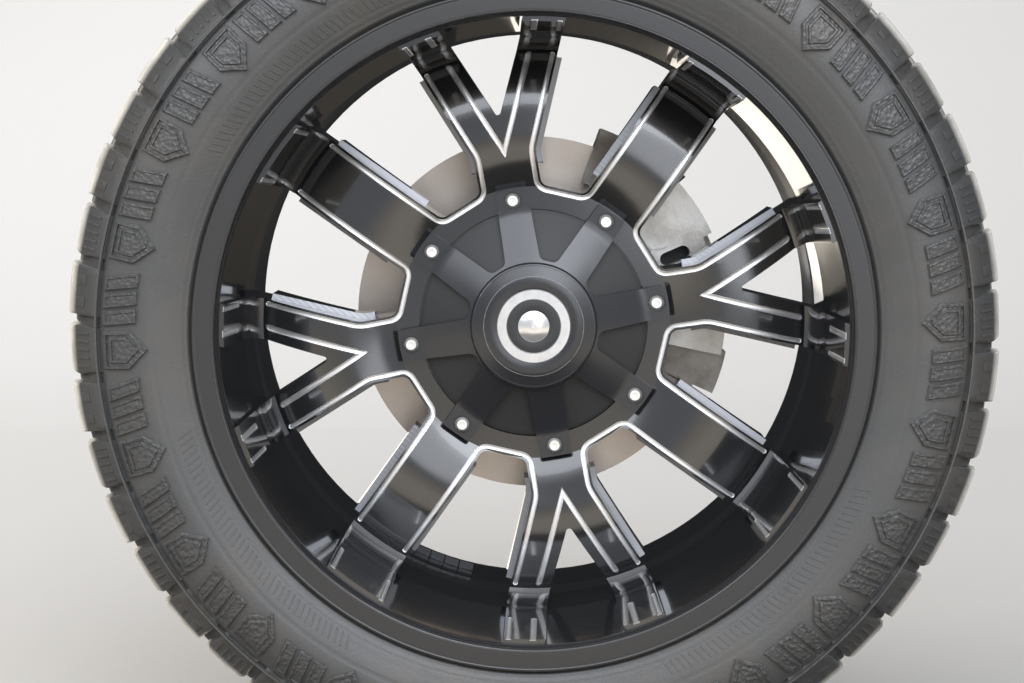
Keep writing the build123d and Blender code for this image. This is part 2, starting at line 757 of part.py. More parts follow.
def tyre_lining():
    """The same half of the tyre's inside, from the middle to the bead."""
    bulge = SECTION_WIDTH / 2 - SIDEWALL_THICKNESS
    inner_r = TYRE_R - TREAD_DEPTH - TREAD_THICKNESS
    return [
        (inner_r, SHOULDER_HALF - LINING_SHOULDER),
        (inner_r - LINING_BEND, bulge - LINING_BEND),
        (WIDEST_R, bulge),
        (FLANGE_R + LINING_BEAD_RISE, TYRE_MIDDLE - FLANGE_THICKNESS - LINING_BEAD_IN),
        (BEAD_R + FIT_GAP + BEAD_THICKNESS, TYRE_MIDDLE - FLANGE_THICKNESS - BEAD_TOE - BEAD_WIDTH),
    ]


def side_lug_outlines(phase):
    """The lugs on a sidewall in the front view: to a pitch, a shield that points inwards and leaning bars."""
    low = SIDE_LUG_INNER_R
    shoulder = SHIELD_LUG_SHOULDER_R
    high = SIDE_LUG_OUTER_R
    half = SHIELD_LUG_HALF
    points = [(low, 0), (shoulder, half), (high, half), (high, -half), (shoulder, -half)]
    outlines = copies(Polygon(*points, align=None), PITCHES, phase)
    for place in range(BAR_LUGS):
        foot = (place - (BAR_LUGS - 1) / 2) * BAR_LUG_STEP - BAR_LUG_WIDTH / 2
        top = foot + BAR_LUG_LEAN
        bar = [(BAR_LUG_INNER_R, foot), (BAR_LUG_INNER_R, foot + BAR_LUG_WIDTH)]
        bar += [(high, top + BAR_LUG_WIDTH), (high, top)]
        outlines += copies(Polygon(*bar, align=None), PITCHES, phase + PITCH_ANGLE / 2)
    return outlines


def sidewall_skin():
    """The sidewall under the lugs, as (radius, distance from the tyre's middle)."""
    widest = (WIDEST_R, SECTION_WIDTH / 2)
    foot = (SHOULDER_FOOT_R, SECTION_WIDTH / 2 - SHOULDER_TUCK)
    slope = SHOULDER_TUCK / (SHOULDER_FOOT_R - WIDEST_R)
    end = (SIDE_LUG_OUTER_R, foot[1] + slope * (SHOULDER_FOOT_R - SIDE_LUG_OUTER_R))
    bead = (FLANGE_R + BEAD_BULGE, SECTION_WIDTH / 2 - BEAD_TUCK)
    share = (SIDE_LUG_INNER_R - bead[0]) / (widest[0] - bead[0])
    start = (SIDE_LUG_INNER_R, bead[1] + share * (widest[1] - bead[1]))
    return [start, widest, end]


def side_lugs(side, phase):
    """The lugs of one sidewall, each with its root in the wall."""
    skin = sidewall_skin()
    top = [(radius, TYRE_MIDDLE - side * (place + SIDE_LUG_HEIGHT)) for radius, place in skin]
    root = [(radius, TYRE_MIDDLE - side * (place - SIDE_LUG_ROOT)) for radius, place in reversed(skin)]
    middle = TYRE_MIDDLE - side * SECTION_WIDTH / 2
    lugs = prism(side_lug_outlines(phase), middle - SIDE_LUG_REACH, middle + SIDE_LUG_REACH)
    return (turned(*top, *root) & lugs).solids()


def cross_slots():
    """The slots across the rows of tread blocks, each row's a third of a block on from the last."""
    near, far = TREAD_GROOVES
    rows = ((-far, -near), (-near, near), (near, far))
    step = 360.0 / SHOULDER_BLOCKS / len(rows)
    height = TREAD_DEPTH + CROSS_SLOT_REACH
    floor = TYRE_R - TREAD_DEPTH + CROSS_SLOT_LIFT
    slot = Pos(floor + height / 2, 0) * Rectangle(height, CROSS_SLOT_WIDTH)
    slots = []
    for row, (low, high) in enumerate(rows):
        outlines = copies(slot, SHOULDER_BLOCKS, PITCH_PHASE + row * step)
        slots += prism(outlines, TYRE_MIDDLE + low, TYRE_MIDDLE + high).solids()
    return slots


def shoulder_notch(side, foot, angle):
    """The gap between two shoulder blocks, running out on the sidewall at the foot's radius."""
    floor = TYRE_R - TREAD_DEPTH
    half = SECTION_WIDTH / 2
    section = [
        (TREAD_GROOVES[-1], floor),
        (SHOULDER_HALF - CROWN_EDGE, floor - CROWN_DROP),
        (SHOULDER_HALF + NOTCH_BEND, floor - NOTCH_BEND_DOWN),
        (half - NOTCH_RUN_OUT, foot),
        (half + NOTCH_REACH, foot),
        (half + NOTCH_REACH, TYRE_R + NOTCH_REACH),
        (TREAD_GROOVES[-1], TYRE_R + NOTCH_REACH),
    ]
    points = [(TYRE_MIDDLE - side * place - MOUNT_DEPTH, radius) for place, radius in section]
    plane = Plane(origin=(0, 0, 0), x_dir=(0, 1, 0), z_dir=(1, 0, 0))
    width = 2 * math.pi * TYRE_R / SHOULDER_BLOCKS * NOTCH_SHARE
    notch = extrude(plane * Polygon(*points, align=None), amount=width / 2, dir=(1, 0, 0), both=True)
    return around(notch, angle)


def tyre():
    """A wide off-road tyre: an open carcass on the bead seats, with a block tread and lugs on its sidewalls."""
    front = [(radius, TYRE_MIDDLE - place) for radius, place in tyre_half()]
    back = [(radius, TYRE_MIDDLE + place) for radius, place in reversed(tyre_half())]
    back_inside = [(radius, TYRE_MIDDLE + place) for radius, place in tyre_lining()]
    front_inside = [(radius, TYRE_MIDDLE - place) for radius, place in reversed(tyre_lining())]
    outside = front + back
    inside = list(reversed(back_inside)) + list(reversed(front_inside))
    body = turned(*outside, *inside)
    gaps = cross_slots()
    lugs = []
    for side, phase in ((1, PITCH_PHASE), (-1, PITCH_PHASE + PITCH_ANGLE / 4)):
        lugs += side_lugs(side, phase)
        for turn in range(SHOULDER_BLOCKS):
            foot = SHOULDER_FOOT_R - NOTCH_FOOT_DROP + NOTCH_FOOT_STEP * (turn % 2)
            angle = phase + PITCH_ANGLE / 2 * (turn + 0.5)
            gaps.append(shoulder_notch(side, foot, angle))
    return body.cut(*gaps).fuse(*lugs)


def brake_disc():
    """A ventilated disc with its hat, clamped between the wheel and the hub."""
    top = SEAT_DEPTH
    disc = turned(
        (PILOT_R, top),
        (HAT_R - HAT_BEVEL, top),
        (HAT_R, top + HAT_BEVEL),
        (HAT_R, DISC_FACE),
        (DISC_R, DISC_FACE),
        (DISC_R, DISC_BACK),
        (DISC_INNER_R, DISC_BACK),
        (DISC_INNER_R, DISC_BACK - DISC_PLATE),
        (HAT_R - HAT_THICKNESS + HAT_STEP, DISC_BACK - DISC_PLATE),
        (HAT_R - HAT_THICKNESS + HAT_STEP, top + HAT_THICKNESS),
        (PILOT_R, top + HAT_THICKNESS),
    )
    duct = 2 * math.pi * DISC_INNER_R / DISC_VANES * DUCT_SHARE
    middle = (DISC_INNER_R + DUCT_INSET + DISC_R) / 2 + DUCT_OVERRUN
    slot = Pos(middle, 0) * Rectangle(DISC_R - DISC_INNER_R, duct)
    slots = copies(slot, DISC_VANES)
    disc -= prism(slots, DISC_FACE + DISC_PLATE, DISC_BACK - DISC_PLATE)
    return disc - prism(stud_holes(), top - OVERCUT, top + HAT_THICKNESS + OVERCUT)


def hub():
    """The turning hub: pilot, stud flange and journal, bored for the axle shaft."""
    snout = SEAT_DEPTH - SNOUT_LENGTH
    end = MOUNT_DEPTH - ANCHOR_THICKNESS - HUB_END_GAP
    relief = end - SPLINE_LENGTH
    body = turned(
        (SHAFT_RELIEF_R, snout + SNOUT_RECESS),
        (SNOUT_R - SNOUT_BEVEL, snout + SNOUT_RECESS),
        (SNOUT_R, snout + SNOUT_RECESS + SNOUT_BEVEL),
        (SNOUT_R, SEAT_DEPTH - PILOT_LEAD),
        (PILOT_R - PILOT_CLEARANCE, SEAT_DEPTH - PILOT_LEAD + PILOT_BEVEL),
        (PILOT_R - PILOT_CLEARANCE, HUB_FACE),
        (HUB_FLANGE_R, HUB_FACE),
        (HUB_FLANGE_R, HUB_BACK),
        (JOURNAL_R + JOURNAL_STEP, HUB_BACK),
        (JOURNAL_R, HUB_BACK + JOURNAL_STEP_LENGTH),
        (JOURNAL_R, end),
        (SPLINE_R, end),
        (SPLINE_R, relief),
        (SHAFT_RELIEF_R, relief),
    )
    return body - prism(stud_holes(0.0), HUB_FACE - OVERCUT, HUB_BACK + OVERCUT)


def axle_bolt_holes():
    """Four bolt holes of the bearing's mounting pattern."""
    spots = [(sx * AXLE_BOLT_X / 2, sz * AXLE_BOLT_Z / 2) for sx in (1, -1) for sz in (1, -1)]
    return Sketch() + [Pos(*spot) * Circle(AXLE_BOLT_HOLE_R) for spot in spots]


def bearing_housing():
    """The fixed housing that the hub turns in, with its bolted flange."""
    near = HUB_BACK + BEARING_GAP
    body = turned(
        (JOURNAL_R + JOURNAL_CLEARANCE, near),
        (BEARING_R - BEARING_BEVEL, near),
        (BEARING_R, near + BEARING_BEVEL),
        (BEARING_R, ANCHOR_FACE),
        (JOURNAL_R + JOURNAL_CLEARANCE, ANCHOR_FACE),
    )
    plate = prism(mounting_outline(), BEARING_FLANGE_FACE, ANCHOR_FACE)
    plate -= ring(JOURNAL_R + JOURNAL_CLEARANCE, 0, BEARING_FLANGE_FACE - OVERCUT, ANCHOR_FACE + OVERCUT)
    return body + plate - prism(axle_bolt_holes(), BEARING_FLANGE_FACE - OVERCUT, ANCHOR_FACE + OVERCUT)


def mounting_outline():
    """The rounded outline of the bearing's flange."""
    return fillet(Rectangle(BEARING_FLANGE_X, BEARING_FLANGE_Z).vertices(), BEARING_FLANGE_CORNER)


def anchor_arm_spots():
    """The bolt places at the ends of the anchor plate's two arms."""
    return [polar(ANCHOR_ARM_R, CALIPER_ANGLE + side * ANCHOR_ARM_ANGLE) for side in (1, -1)]


def anchor_plate():
    """The plate between the housing and the axle, whose two arms carry the caliper's bracket."""
    outline = Sketch() + mounting_outline()
    for side in (1, -1):
        arm = Pos(ANCHOR_ARM_R / 2, 0) * Rectangle(ANCHOR_ARM_R, 2 * ANCHOR_ARM_HALF)
        arm += Pos(ANCHOR_ARM_R, 0) * Circle(ANCHOR_ARM_HALF)
        outline += Rot(0, 0, CALIPER_ANGLE + side * ANCHOR_ARM_ANGLE) * arm
    outline -= Circle(JOURNAL_R + ANCHOR_BORE_GAP)
    outline -= axle_bolt_holes()
    outline -= [Pos(*spot) * Circle(BRACKET_BOLT_R + STUD_CLEARANCE) for spot in anchor_arm_spots()]
    return prism(outline, ANCHOR_FACE, MOUNT_DEPTH)


def dust_shield():
    """The thin shield behind the disc, open where the caliper sits."""
    back = BEARING_FLANGE_FACE
    near = DISC_BACK + SHIELD_GAP
    thick = SHIELD_THICKNESS
    rim = math.hypot(BEARING_FLANGE_X, BEARING_FLANGE_Z) / 2
    body = turned(
        (BEARING_R + SHIELD_BORE_GAP, back - thick),
        (rim, back - thick),
        (rim + SHIELD_SLOPE, near),
        (SHIELD_R, near),
        (SHIELD_R, near + thick),
        (rim + SHIELD_SLOPE + thick, near + thick),
        (rim + thick, back),
        (BEARING_R + SHIELD_BORE_GAP, back),
    )
    reach = DISC_R * 2
    gap = BRACKET_HALF_ANGLE + SHIELD_MARGIN
    corners = [polar(reach, CALIPER_ANGLE + turn * gap) for turn in (-1, 0, 1)]
    inner = [polar(rim + 2 * SHIELD_SLOPE, CALIPER_ANGLE + turn * gap) for turn in (1, 0, -1)]
    opening = prism(Polygon(*corners, *inner, align=None), 0, MOUNT_DEPTH)
    holes = prism(axle_bolt_holes(), 0, MOUNT_DEPTH)
    return body - opening - holes


def sector(inner, outer, low, high, near, far):
    """A sector of a ring between two angles from the caliper's middle."""
    reach = outer * 2
    middle = (low + high) / 2
    fan = Polygon((0, 0), polar(reach, low), polar(reach, middle), polar(reach, high), align=None)
    band = (Circle(outer) - Circle(inner)) & fan
    return around(prism(band, near, far), CALIPER_ANGLE)


def discs(radius, circle_r, angle, near, far):
    """A pair of round prisms either side of the caliper's middle."""
    pair = Sketch() + [Pos(*polar(circle_r, side * angle)) * Circle(radius) for side in (1, -1)]
    return around(prism(pair, near, far), CALIPER_ANGLE)


def pads(near, far):
    """A friction pad's lining or backing between two depths."""
    return sector(PAD_INNER_R, PAD_OUTER_R, -PAD_HALF_ANGLE, PAD_HALF_ANGLE, near, far)


def caliper_body():
    """The floating caliper: a bossed outboard face, a bridge over the disc and two cylinders behind."""
    face = PAD_NEAR - CALIPER_REACH
    back = PAD_FAR + REAR_THICKNESS
    wide = CALIPER_HALF_ANGLE
    body = sector(CALIPER_INNER_R, CALIPER_R - CALIPER_STEP, -wide, wide, face, PAD_NEAR)
    body += discs(FACE_BOSS_R, BOSS_CIRCLE_R, BOSS_ANGLE, face - FACE_BOSS_RISE, PAD_NEAR)
    body += sector(BRIDGE_R, CALIPER_R, -BRIDGE_HALF_ANGLE, BRIDGE_HALF_ANGLE, face + BRIDGE_SET_BACK, back)
    rear = REAR_HALF_ANGLE
    body += sector(CALIPER_INNER_R - CALIPER_STEP, CALIPER_R, -rear, rear, PAD_FAR, back)
    body += sector(EAR_INNER_R, CALIPER_R, -EAR_HALF_ANGLE, EAR_HALF_ANGLE, EAR_FACE, EAR_BACK)
    body += discs(PISTON_R + PISTON_WALL, BOSS_CIRCLE_R, BOSS_ANGLE, PAD_FAR, PAD_FAR + PISTON_HOUSING)
    cylinder_end = PAD_FAR + PISTON_HOUSING - PISTON_HOUSING_END
    body -= discs(PISTON_R, BOSS_CIRCLE_R, BOSS_ANGLE, PAD_FAR - OVERCUT, cylinder_end)
    opening = BRIDGE_WINDOW_ANGLE
    body -= sector(BRIDGE_R - 3, CALIPER_R + 5, -opening, opening, PAD_NEAR, PAD_FAR)
    slot = Pos(BOSS_CIRCLE_R + FACE_SLOT_SHIFT, 0) * SlotOverall(FACE_SLOT_LENGTH, FACE_SLOT_WIDTH)
    body -= around(prism(slot, face - TOOL_REACH, PAD_NEAR + OVERCUT), CALIPER_ANGLE)
    notch = Pos(CALIPER_R, 0) * Rectangle(TOOL_REACH, FACE_SLOT_WIDTH)
    body -= around(prism(notch, face - TOOL_REACH, PAD_NEAR + OVERCUT), CALIPER_ANGLE)
    bolt = GUIDE_BOLT_R + FIT_GAP
    body -= discs(bolt, GUIDE_PIN_CIRCLE_R, GUIDE_PIN_ANGLE, EAR_FACE - OVERCUT, MOUNT_DEPTH + OVERCUT)
    port = Pos(HOSE_PORT_CIRCLE_R, 0) * Circle(HOSE_PORT_R)
    return body - around(prism(port, EAR_BACK - HOSE_PORT_DEPTH, EAR_BACK + OVERCUT), CALIPER_ANGLE)


def pistons():
    """The two pistons behind the inner pad."""
    end = PAD_FAR + PISTON_HOUSING - PISTON_HOUSING_END - PISTON_BOTTOM_GAP
    return discs(PISTON_R - SLIDE_CLEARANCE, BOSS_CIRCLE_R, BOSS_ANGLE, PAD_FAR, end)


def caliper_bracket():
    """The bracket that holds the pads' ends and the guide pins, bolted to the anchor plate's arms."""
    sides = []
    arm_end = BRACKET_NEAR + BRACKET_ARM_THICKNESS
    for side in (1, -1):
        low, high = sorted((side * BRACKET_OPEN_ANGLE, side * BRACKET_HALF_ANGLE))
        part = sector(BRACKET_INNER_R, CALIPER_R + BRACKET_RISE, low, high, BRACKET_NEAR, arm_end)
        part += sector(BRIDGE_R, CALIPER_R + BRACKET_RISE, low, high, BRACKET_NEAR, BRACKET_PIN_FACE)
        part += sector(BRACKET_INNER_R, CALIPER_R + BRACKET_RISE, low, high, BRACKET_BACK, BRACKET_PIN_FACE)
        part += sector(ANCHOR_ARM_R - ANCHOR_ARM_HALF, BRACKET_FOOT_R, low, high, BRACKET_BACK, ANCHOR_FACE)
        sides.append(part)
    bracket = sides[0] + sides[1]
    bore = GUIDE_PIN_R + SLIDE_CLEARANCE
    bracket -= discs(bore, GUIDE_PIN_CIRCLE_R, GUIDE_PIN_ANGLE, BRACKET_BACK + PIN_BORE_FLOOR, MOUNT_DEPTH)
    floor = BRACKET_BACK + BOLT_BORE_FLOOR
    return bracket - discs(BRACKET_BOLT_R, ANCHOR_ARM_R, ANCHOR_ARM_ANGLE, floor, MOUNT_DEPTH)


def guide_pins():
    """The two pins that the caliper slides on, each with its bolt through the caliper's ear."""
    pins = []
    for side in (1, -1):
        pin = turned(
            (0, BRACKET_BACK + PIN_FLOOR),
            (GUIDE_PIN_R, BRACKET_BACK + PIN_FLOOR),
            (GUIDE_PIN_R, EAR_FACE),
            (GUIDE_BOLT_R, EAR_FACE),
            (GUIDE_BOLT_R, EAR_BACK),
            (GUIDE_BOLT_HEAD_R, EAR_BACK),
            (GUIDE_BOLT_HEAD_R, EAR_BACK + GUIDE_BOLT_HEAD),
            (0, EAR_BACK + GUIDE_BOLT_HEAD),
        )
        pin = Pos(GUIDE_PIN_CIRCLE_R, 0, 0) * pin
        pins.append(around(pin, CALIPER_ANGLE + side * GUIDE_PIN_ANGLE))
    return Compound(pins)


def pin_boots():
    """Rubber boots on the pins between the bracket and the caliper's ears."""
    boots = discs(BOOT_R, GUIDE_PIN_CIRCLE_R, GUIDE_PIN_ANGLE, BRACKET_PIN_FACE + FIT_GAP, EAR_FACE - FIT_GAP)
    bore = GUIDE_PIN_R + FIT_GAP
    return boots - discs(bore, GUIDE_PIN_CIRCLE_R, GUIDE_PIN_ANGLE, BRACKET_PIN_FACE, EAR_FACE)


def bracket_bolts():
    """The bolts that hold the bracket on the anchor plate."""
    bolts = []
    for side in (1, -1):
        bolt = turned(
            (0, BRACKET_BACK + BOLT_FLOOR),
            (BRACKET_BOLT_R, BRACKET_BACK + BOLT_FLOOR),
            (BRACKET_BOLT_R, MOUNT_DEPTH),
            (BRACKET_BOLT_HEAD_R, MOUNT_DEPTH),
            (BRACKET_BOLT_HEAD_R, MOUNT_DEPTH + BRACKET_BOLT_HEAD),
            (0, MOUNT_DEPTH + BRACKET_BOLT_HEAD),
        )
        bolt = Pos(ANCHOR_ARM_R, 0, 0) * bolt
        bolts.append(around(bolt, CALIPER_ANGLE + side * ANCHOR_ARM_ANGLE))
    return Compound(bolts)


def bleed_screw():
    """The bleed screw on the upper cylinder."""
    screw = Cylinder(BLEED_R, BLEED_LENGTH, align=(Align.CENTER, Align.CENTER, Align.MIN))
    depth = PAD_FAR + REAR_THICKNESS / 2
    screw = Pos(CALIPER_R, depth - MOUNT_DEPTH, 0) * Rot(0, 90, 0) * screw
    return around(screw, CALIPER_ANGLE + BLEED_ANGLE)


def valve_stem():
    """A rubber valve through the barrel behind a straight spoke."""
    depth = SEAT_DEPTH - VALVE_AHEAD
    stem = Cylinder(VALVE_R, VALVE_LENGTH, align=(Align.CENTER, Align.CENTER, Align.MIN))
    wall = inside_radius(depth - VALVE_R)
    stem = Pos(wall - VALVE_LENGTH - FIT_GAP, depth - MOUNT_DEPTH, 0) * Rot(0, 90, 0) * stem
    return around(stem, VALVE_ANGLE)


def balance_weights():
    """A strip of weights stuck inside the barrel."""
    wall = inside_radius(WEIGHT_DEPTH - WEIGHT_WIDTH / 2) - WEIGHT_LENGTH**2 / 8 / BEAD_R
    bar = Pos(wall - WEIGHT_THICKNESS / 2 - FIT_GAP, WEIGHT_DEPTH - MOUNT_DEPTH, 0)
    bar *= Box(WEIGHT_THICKNESS, WEIGHT_WIDTH, WEIGHT_LENGTH)
    step = math.degrees((WEIGHT_LENGTH + WEIGHT_SPACE) / wall)
    first = WEIGHT_ANGLE - step * (WEIGHTS - 1) / 2
    return Compound([around(bar, first + step * turn) for turn in range(WEIGHTS)])


def main():
    outer_lining = PAD_NEAR + PAD_BACKING
    inner_backing = PAD_FAR - PAD_BACKING
    pieces = {
        "tyre": tyre(),
        "wheel_casting": wheel_casting(),
        "centre_cap": centre_cap(),
        "cap_medallion": medallion(),
        "cap_screws": cap_screws(),
        "wheel_studs": wheel_studs(),
        "lug_nuts": lug_nuts(),
        "valve_stem": valve_stem(),
        "balance_weights": balance_weights(),
        "brake_disc": brake_disc(),
        "hub": hub(),
        "bearing_housing": bearing_housing(),
        "anchor_plate": anchor_plate(),
        "dust_shield": dust_shield(),
        "caliper_bracket": caliper_bracket(),
        "caliper_body": caliper_body(),
        "caliper_pistons": pistons(),
        "guide_pins": guide_pins(),
        "pin_boots": pin_boots(),
        "bracket_bolts": bracket_bolts(),
        "bleed_screw": bleed_screw(),
        "outer_pad_backing": pads(PAD_NEAR, outer_lining),
        "outer_pad_lining": pads(outer_lining, DISC_FACE - PAD_GAP),
        "inner_pad_lining": pads(DISC_BACK + PAD_GAP, inner_backing),
        "inner_pad_backing": pads(inner_backing, PAD_FAR),
    }
    os.makedirs("parts", exist_ok=True)
    for name, piece in pieces.items():
        export_step(piece, f"parts/{name}.step")
        print(name, len(piece.solids()), round(sum(solid.volume for solid in piece.solids())))


main()
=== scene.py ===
import bmesh
import bpy
import numpy as np
from bpy.props import FloatProperty, FloatVectorProperty, IntProperty, PointerProperty
from bpy.types import Operator, Panel, PropertyGroup
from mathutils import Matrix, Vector


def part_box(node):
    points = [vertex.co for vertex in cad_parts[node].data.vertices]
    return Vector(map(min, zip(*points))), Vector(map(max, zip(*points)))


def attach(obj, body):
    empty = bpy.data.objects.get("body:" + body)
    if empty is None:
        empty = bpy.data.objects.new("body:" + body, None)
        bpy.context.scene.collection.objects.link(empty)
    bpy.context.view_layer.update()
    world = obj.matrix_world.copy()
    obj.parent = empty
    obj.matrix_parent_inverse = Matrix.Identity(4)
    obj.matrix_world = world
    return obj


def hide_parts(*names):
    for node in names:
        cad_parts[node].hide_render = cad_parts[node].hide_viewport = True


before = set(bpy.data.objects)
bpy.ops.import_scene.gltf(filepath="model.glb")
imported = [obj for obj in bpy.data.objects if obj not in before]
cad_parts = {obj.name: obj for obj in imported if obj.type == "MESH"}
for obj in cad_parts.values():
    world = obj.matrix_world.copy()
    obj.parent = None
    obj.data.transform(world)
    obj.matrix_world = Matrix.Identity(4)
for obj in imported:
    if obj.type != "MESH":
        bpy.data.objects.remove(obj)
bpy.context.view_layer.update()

bl_info = {
    "name": "Off-road wheel end",
    "version": (1, 0, 0),
    "blender": (4, 5, 0),
    "location": "3D View > Sidebar > Wheel End",
    "description": "Tyre tread, milled accents, finishes, stage and camera for the packed wheel end",
    "category": "Object",
}

# Lengths are in metres. The front view's x and z are worked out as (x, z) pairs, angles are in degrees and
# run counter-clockwise from +X as seen from outside, and depths are counted inboard from the lip's face.
MM = 0.001
LIP_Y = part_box("wheel_casting")[0].y
MIDDLE = (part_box("wheel_casting")[1].y - LIP_Y) / 2
FLOOR_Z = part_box("tyre")[0].z
SPOKE_PHASE = 9.75
PITCH_PHASE = 2.0
SPOKE_PAIRS = 4
SPOKE_STEP = 45.0


def linear(hexadecimal):
    """An sRGB hex colour as linear red, green and blue."""
    parts = np.array([int(hexadecimal[at : at + 2], 16) for at in (0, 2, 4)]) / 255
    return tuple(np.where(parts <= 0.04045, parts / 12.92, ((parts + 0.055) / 1.055) ** 2.4))


def length(name, value, description):
    return FloatProperty(name=name, description=description, default=value, unit="LENGTH", precision=4)


def colour(name, value, description):
    return FloatVectorProperty(name=name, description=description, default=linear(value), subtype="COLOR")


class TyreSizes(PropertyGroup):
    pitches: IntProperty(name="Pitches", description="Tread pitches round the tyre", default=24)
    lug_height: length("Lug height", 3.6 * MM, "How far the side lugs stand off the sidewall")
    rib_height: length("Rib height", 1.5 * MM, "Height of the mould line between sidewall and shoulder")
    block_round: length("Block edge", 1.6 * MM, "Chamfer on the edges of the tread blocks")
    lug_inner: length("Lug inner end", 344 * MM, "Radius where the bars of the side lugs begin")
    lug_outer: length("Lug outer end", 374 * MM, "Radius where the side lugs end")


class WheelSizes(PropertyGroup):
    neck_half: length("Neck", 28.7 * MM, "Half the width of a forked spoke before its fork")
    straight_half: length("Straight spoke", 30 * MM, "Half the width of a straight spoke")
    fork_along: length("Fork", 158 * MM, "Where a forked spoke divides")
    fork_angle: FloatProperty(name="Fork angle", description="Angle of a branch, in degrees", default=22.7)
    fork_fillet: length("Fork fillet", 24 * MM, "Radius of the window at the fork")
    sill: length("Sill", 126.5 * MM, "Radius of the windows' inner end")
    sill_fillet: length("Sill fillet", 8 * MM, "Radius of the windows' inner corners")
    groove_place: length("Groove place", 4.3 * MM, "From a window's edge to the middle of its groove")
    groove_width: length("Groove width", 4.4 * MM, "Width of the milled groove along a window")
    groove_depth: length("Groove depth", 1.1 * MM, "Depth of the milled grooves")
    groove_end: length("Groove end", 250 * MM, "Radius where the grooves end")
    vee_along: length("V place", 159 * MM, "Where the milled V has its point")
    vee_angle: FloatProperty(name="V angle", description="Angle of an arm of the V, in degrees", default=23.3)
    vee_width: length("V width", 5.8 * MM, "Width of the milled V")
    ledge_width: length("Ledge", 5 * MM, "Width of the bare ledge inside a window")
    lip_groove_end: length("Lip groove", 70 * MM, "Depth where the milled ends next to the lip stop")


class Finishes(PropertyGroup):
    rubber: colour("Rubber", "3d3d3c", "Moulded tyre rubber")
    # Dust also serves as a painted highlight on the tread's edge, where light catches it
    dust: colour("Dust", "dcd7cc", "Worn, dusty edges of the tread")
    gloss: colour("Gloss black", "1b1c1e", "Gloss powder coat on the casting")
    satin: colour("Satin black", "252526", "Satin powder coat on the lip")
    cap: colour("Cap", "25262a", "Half-gloss powder coat on the cap's arms and boss")
    dish: colour("Cap dish", "242424", "Duller coat between the cap's arms")
    milled: colour("Milled aluminium", "f6f6f6", "Freshly milled grooves under clear coat")
    ledge: colour("Bare ledge", "96979a", "Coarsely milled ledges in the windows")
    disc: colour("Disc", "faf3ea", "Ground disc")
    bloom: colour("Rust bloom", "cdb9a8", "Rust on the disc")
    stain: colour("Road stain", "4d453b", "Brown road dirt wiped into the sidewall")
    floor: colour("Floor", "bdbab5", "Plain studio floor")


# Meshes


def on_wheel(radius, angle, depth):
    """x = r cos a, y = depth from the lip's face, z = r sin a, with the angle in degrees."""
    radius, angle, depth = np.broadcast_arrays(radius, np.radians(angle), depth)
    return np.stack([radius * np.cos(angle), LIP_Y + depth, radius * np.sin(angle)], -1)


def in_front(points, depth):
    """Front view points (x, z) at a depth."""
    depth = np.broadcast_to(depth, points.shape[:-1])
    return np.stack([points[..., 0], LIP_Y + depth, points[..., 1]], -1)


def turned_copies(points, degrees):
    """The points turned about the axle by each angle: x' = x cos a - z sin a, z' = x sin a + z cos a."""
    turn = np.radians(degrees).reshape(-1, *[1] * (points.ndim - 1))
    cos, sin = np.cos(turn), np.sin(turn)
    x, y, z = points[None, ..., 0], points[None, ..., 1], points[None, ..., 2]
    return np.stack([x * cos - z * sin, y + 0 * turn, x * sin + z * cos], -1)


def capped(rings):
    """Rings (..., rows, columns, 3) with a row more at each end, shrunk to its middle, to close the tube."""
    first = np.broadcast_to(rings[..., :1, :, :].mean(-2, keepdims=True), rings[..., :1, :, :].shape)
    last = np.broadcast_to(rings[..., -1:, :, :].mean(-2, keepdims=True), rings[..., :1, :, :].shape)
    return np.concatenate([first, rings, last], -3)


def quads(rows, columns, wrap_rows, wrap_columns):
    """The corners of a grid's quads: (r, c), (r, c + 1), (r + 1, c + 1), (r + 1, c), and over a wrap."""
    row, column = np.meshgrid(
        np.arange(rows if wrap_rows else rows - 1),
        np.arange(columns if wrap_columns else columns - 1),
        indexing="ij",
    )
    below, right = (row + 1) % rows, (column + 1) % columns
    corners = (row, column), (row, right), (below, right), (below, column)
    return np.stack([r * columns + c for r, c in corners], -1).reshape(-1, 4)


def build(name, patches, material, body="wheel", replaces=(), sharp=35.0):
    """A closed mesh from grids of points. A patch is (points (..., rows, columns, 3), wrap rows, wrap
    columns), and each leading index is one more copy. Points that coincide are merged and the faces turned
    outwards."""
    points, faces, start = [], [], 0
    for grid, wrap_rows, wrap_columns in patches:
        rows, columns = grid.shape[-3:-1]
        copies = grid.reshape(-1, 3)
        step = np.arange(start, start + len(copies), rows * columns)
        corners = quads(rows, columns, wrap_rows, wrap_columns)
        faces.append((corners[None] + step[:, None, None]).reshape(-1, 4))
        points.append(copies)
        start += len(copies)
    mesh = bpy.data.meshes.new(name)
    mesh.from_pydata(np.concatenate(points).tolist(), [], np.concatenate(faces).tolist())
    work = bmesh.new()
    work.from_mesh(mesh)
    bmesh.ops.remove_doubles(work, verts=work.verts, dist=2e-6)
    bmesh.ops.recalc_face_normals(work, faces=work.faces)
    work.to_mesh(mesh)
    work.free()
    mesh.polygons.foreach_set("use_smooth", np.ones(len(mesh.polygons), bool))
    mesh.set_sharp_from_angle(angle=np.radians(sharp))
    mesh.materials.append(material)
    made = bpy.data.objects.new(name, mesh)
    bpy.context.scene.collection.objects.link(made)
    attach(made, body)
    if replaces:
        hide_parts(*replaces)


def rounds(points, times=2):
    """A broken line with its corners cut: each pass puts points at a quarter and three quarters of a run."""
    for _ in range(times):
        near, far = points[:-1], points[1:]
        cut = np.stack([0.75 * near + 0.25 * far, 0.25 * near + 0.75 * far], 1).reshape(-1, 2)
        points = np.concatenate([points[:1], cut, points[-1:]])
    return points


def sample(line, knots, steps):
    """The line's points at these steps, where its own points lie at the knots."""
    return np.stack([np.interp(steps, knots, line[:, axis]) for axis in (0, 1)], -1)


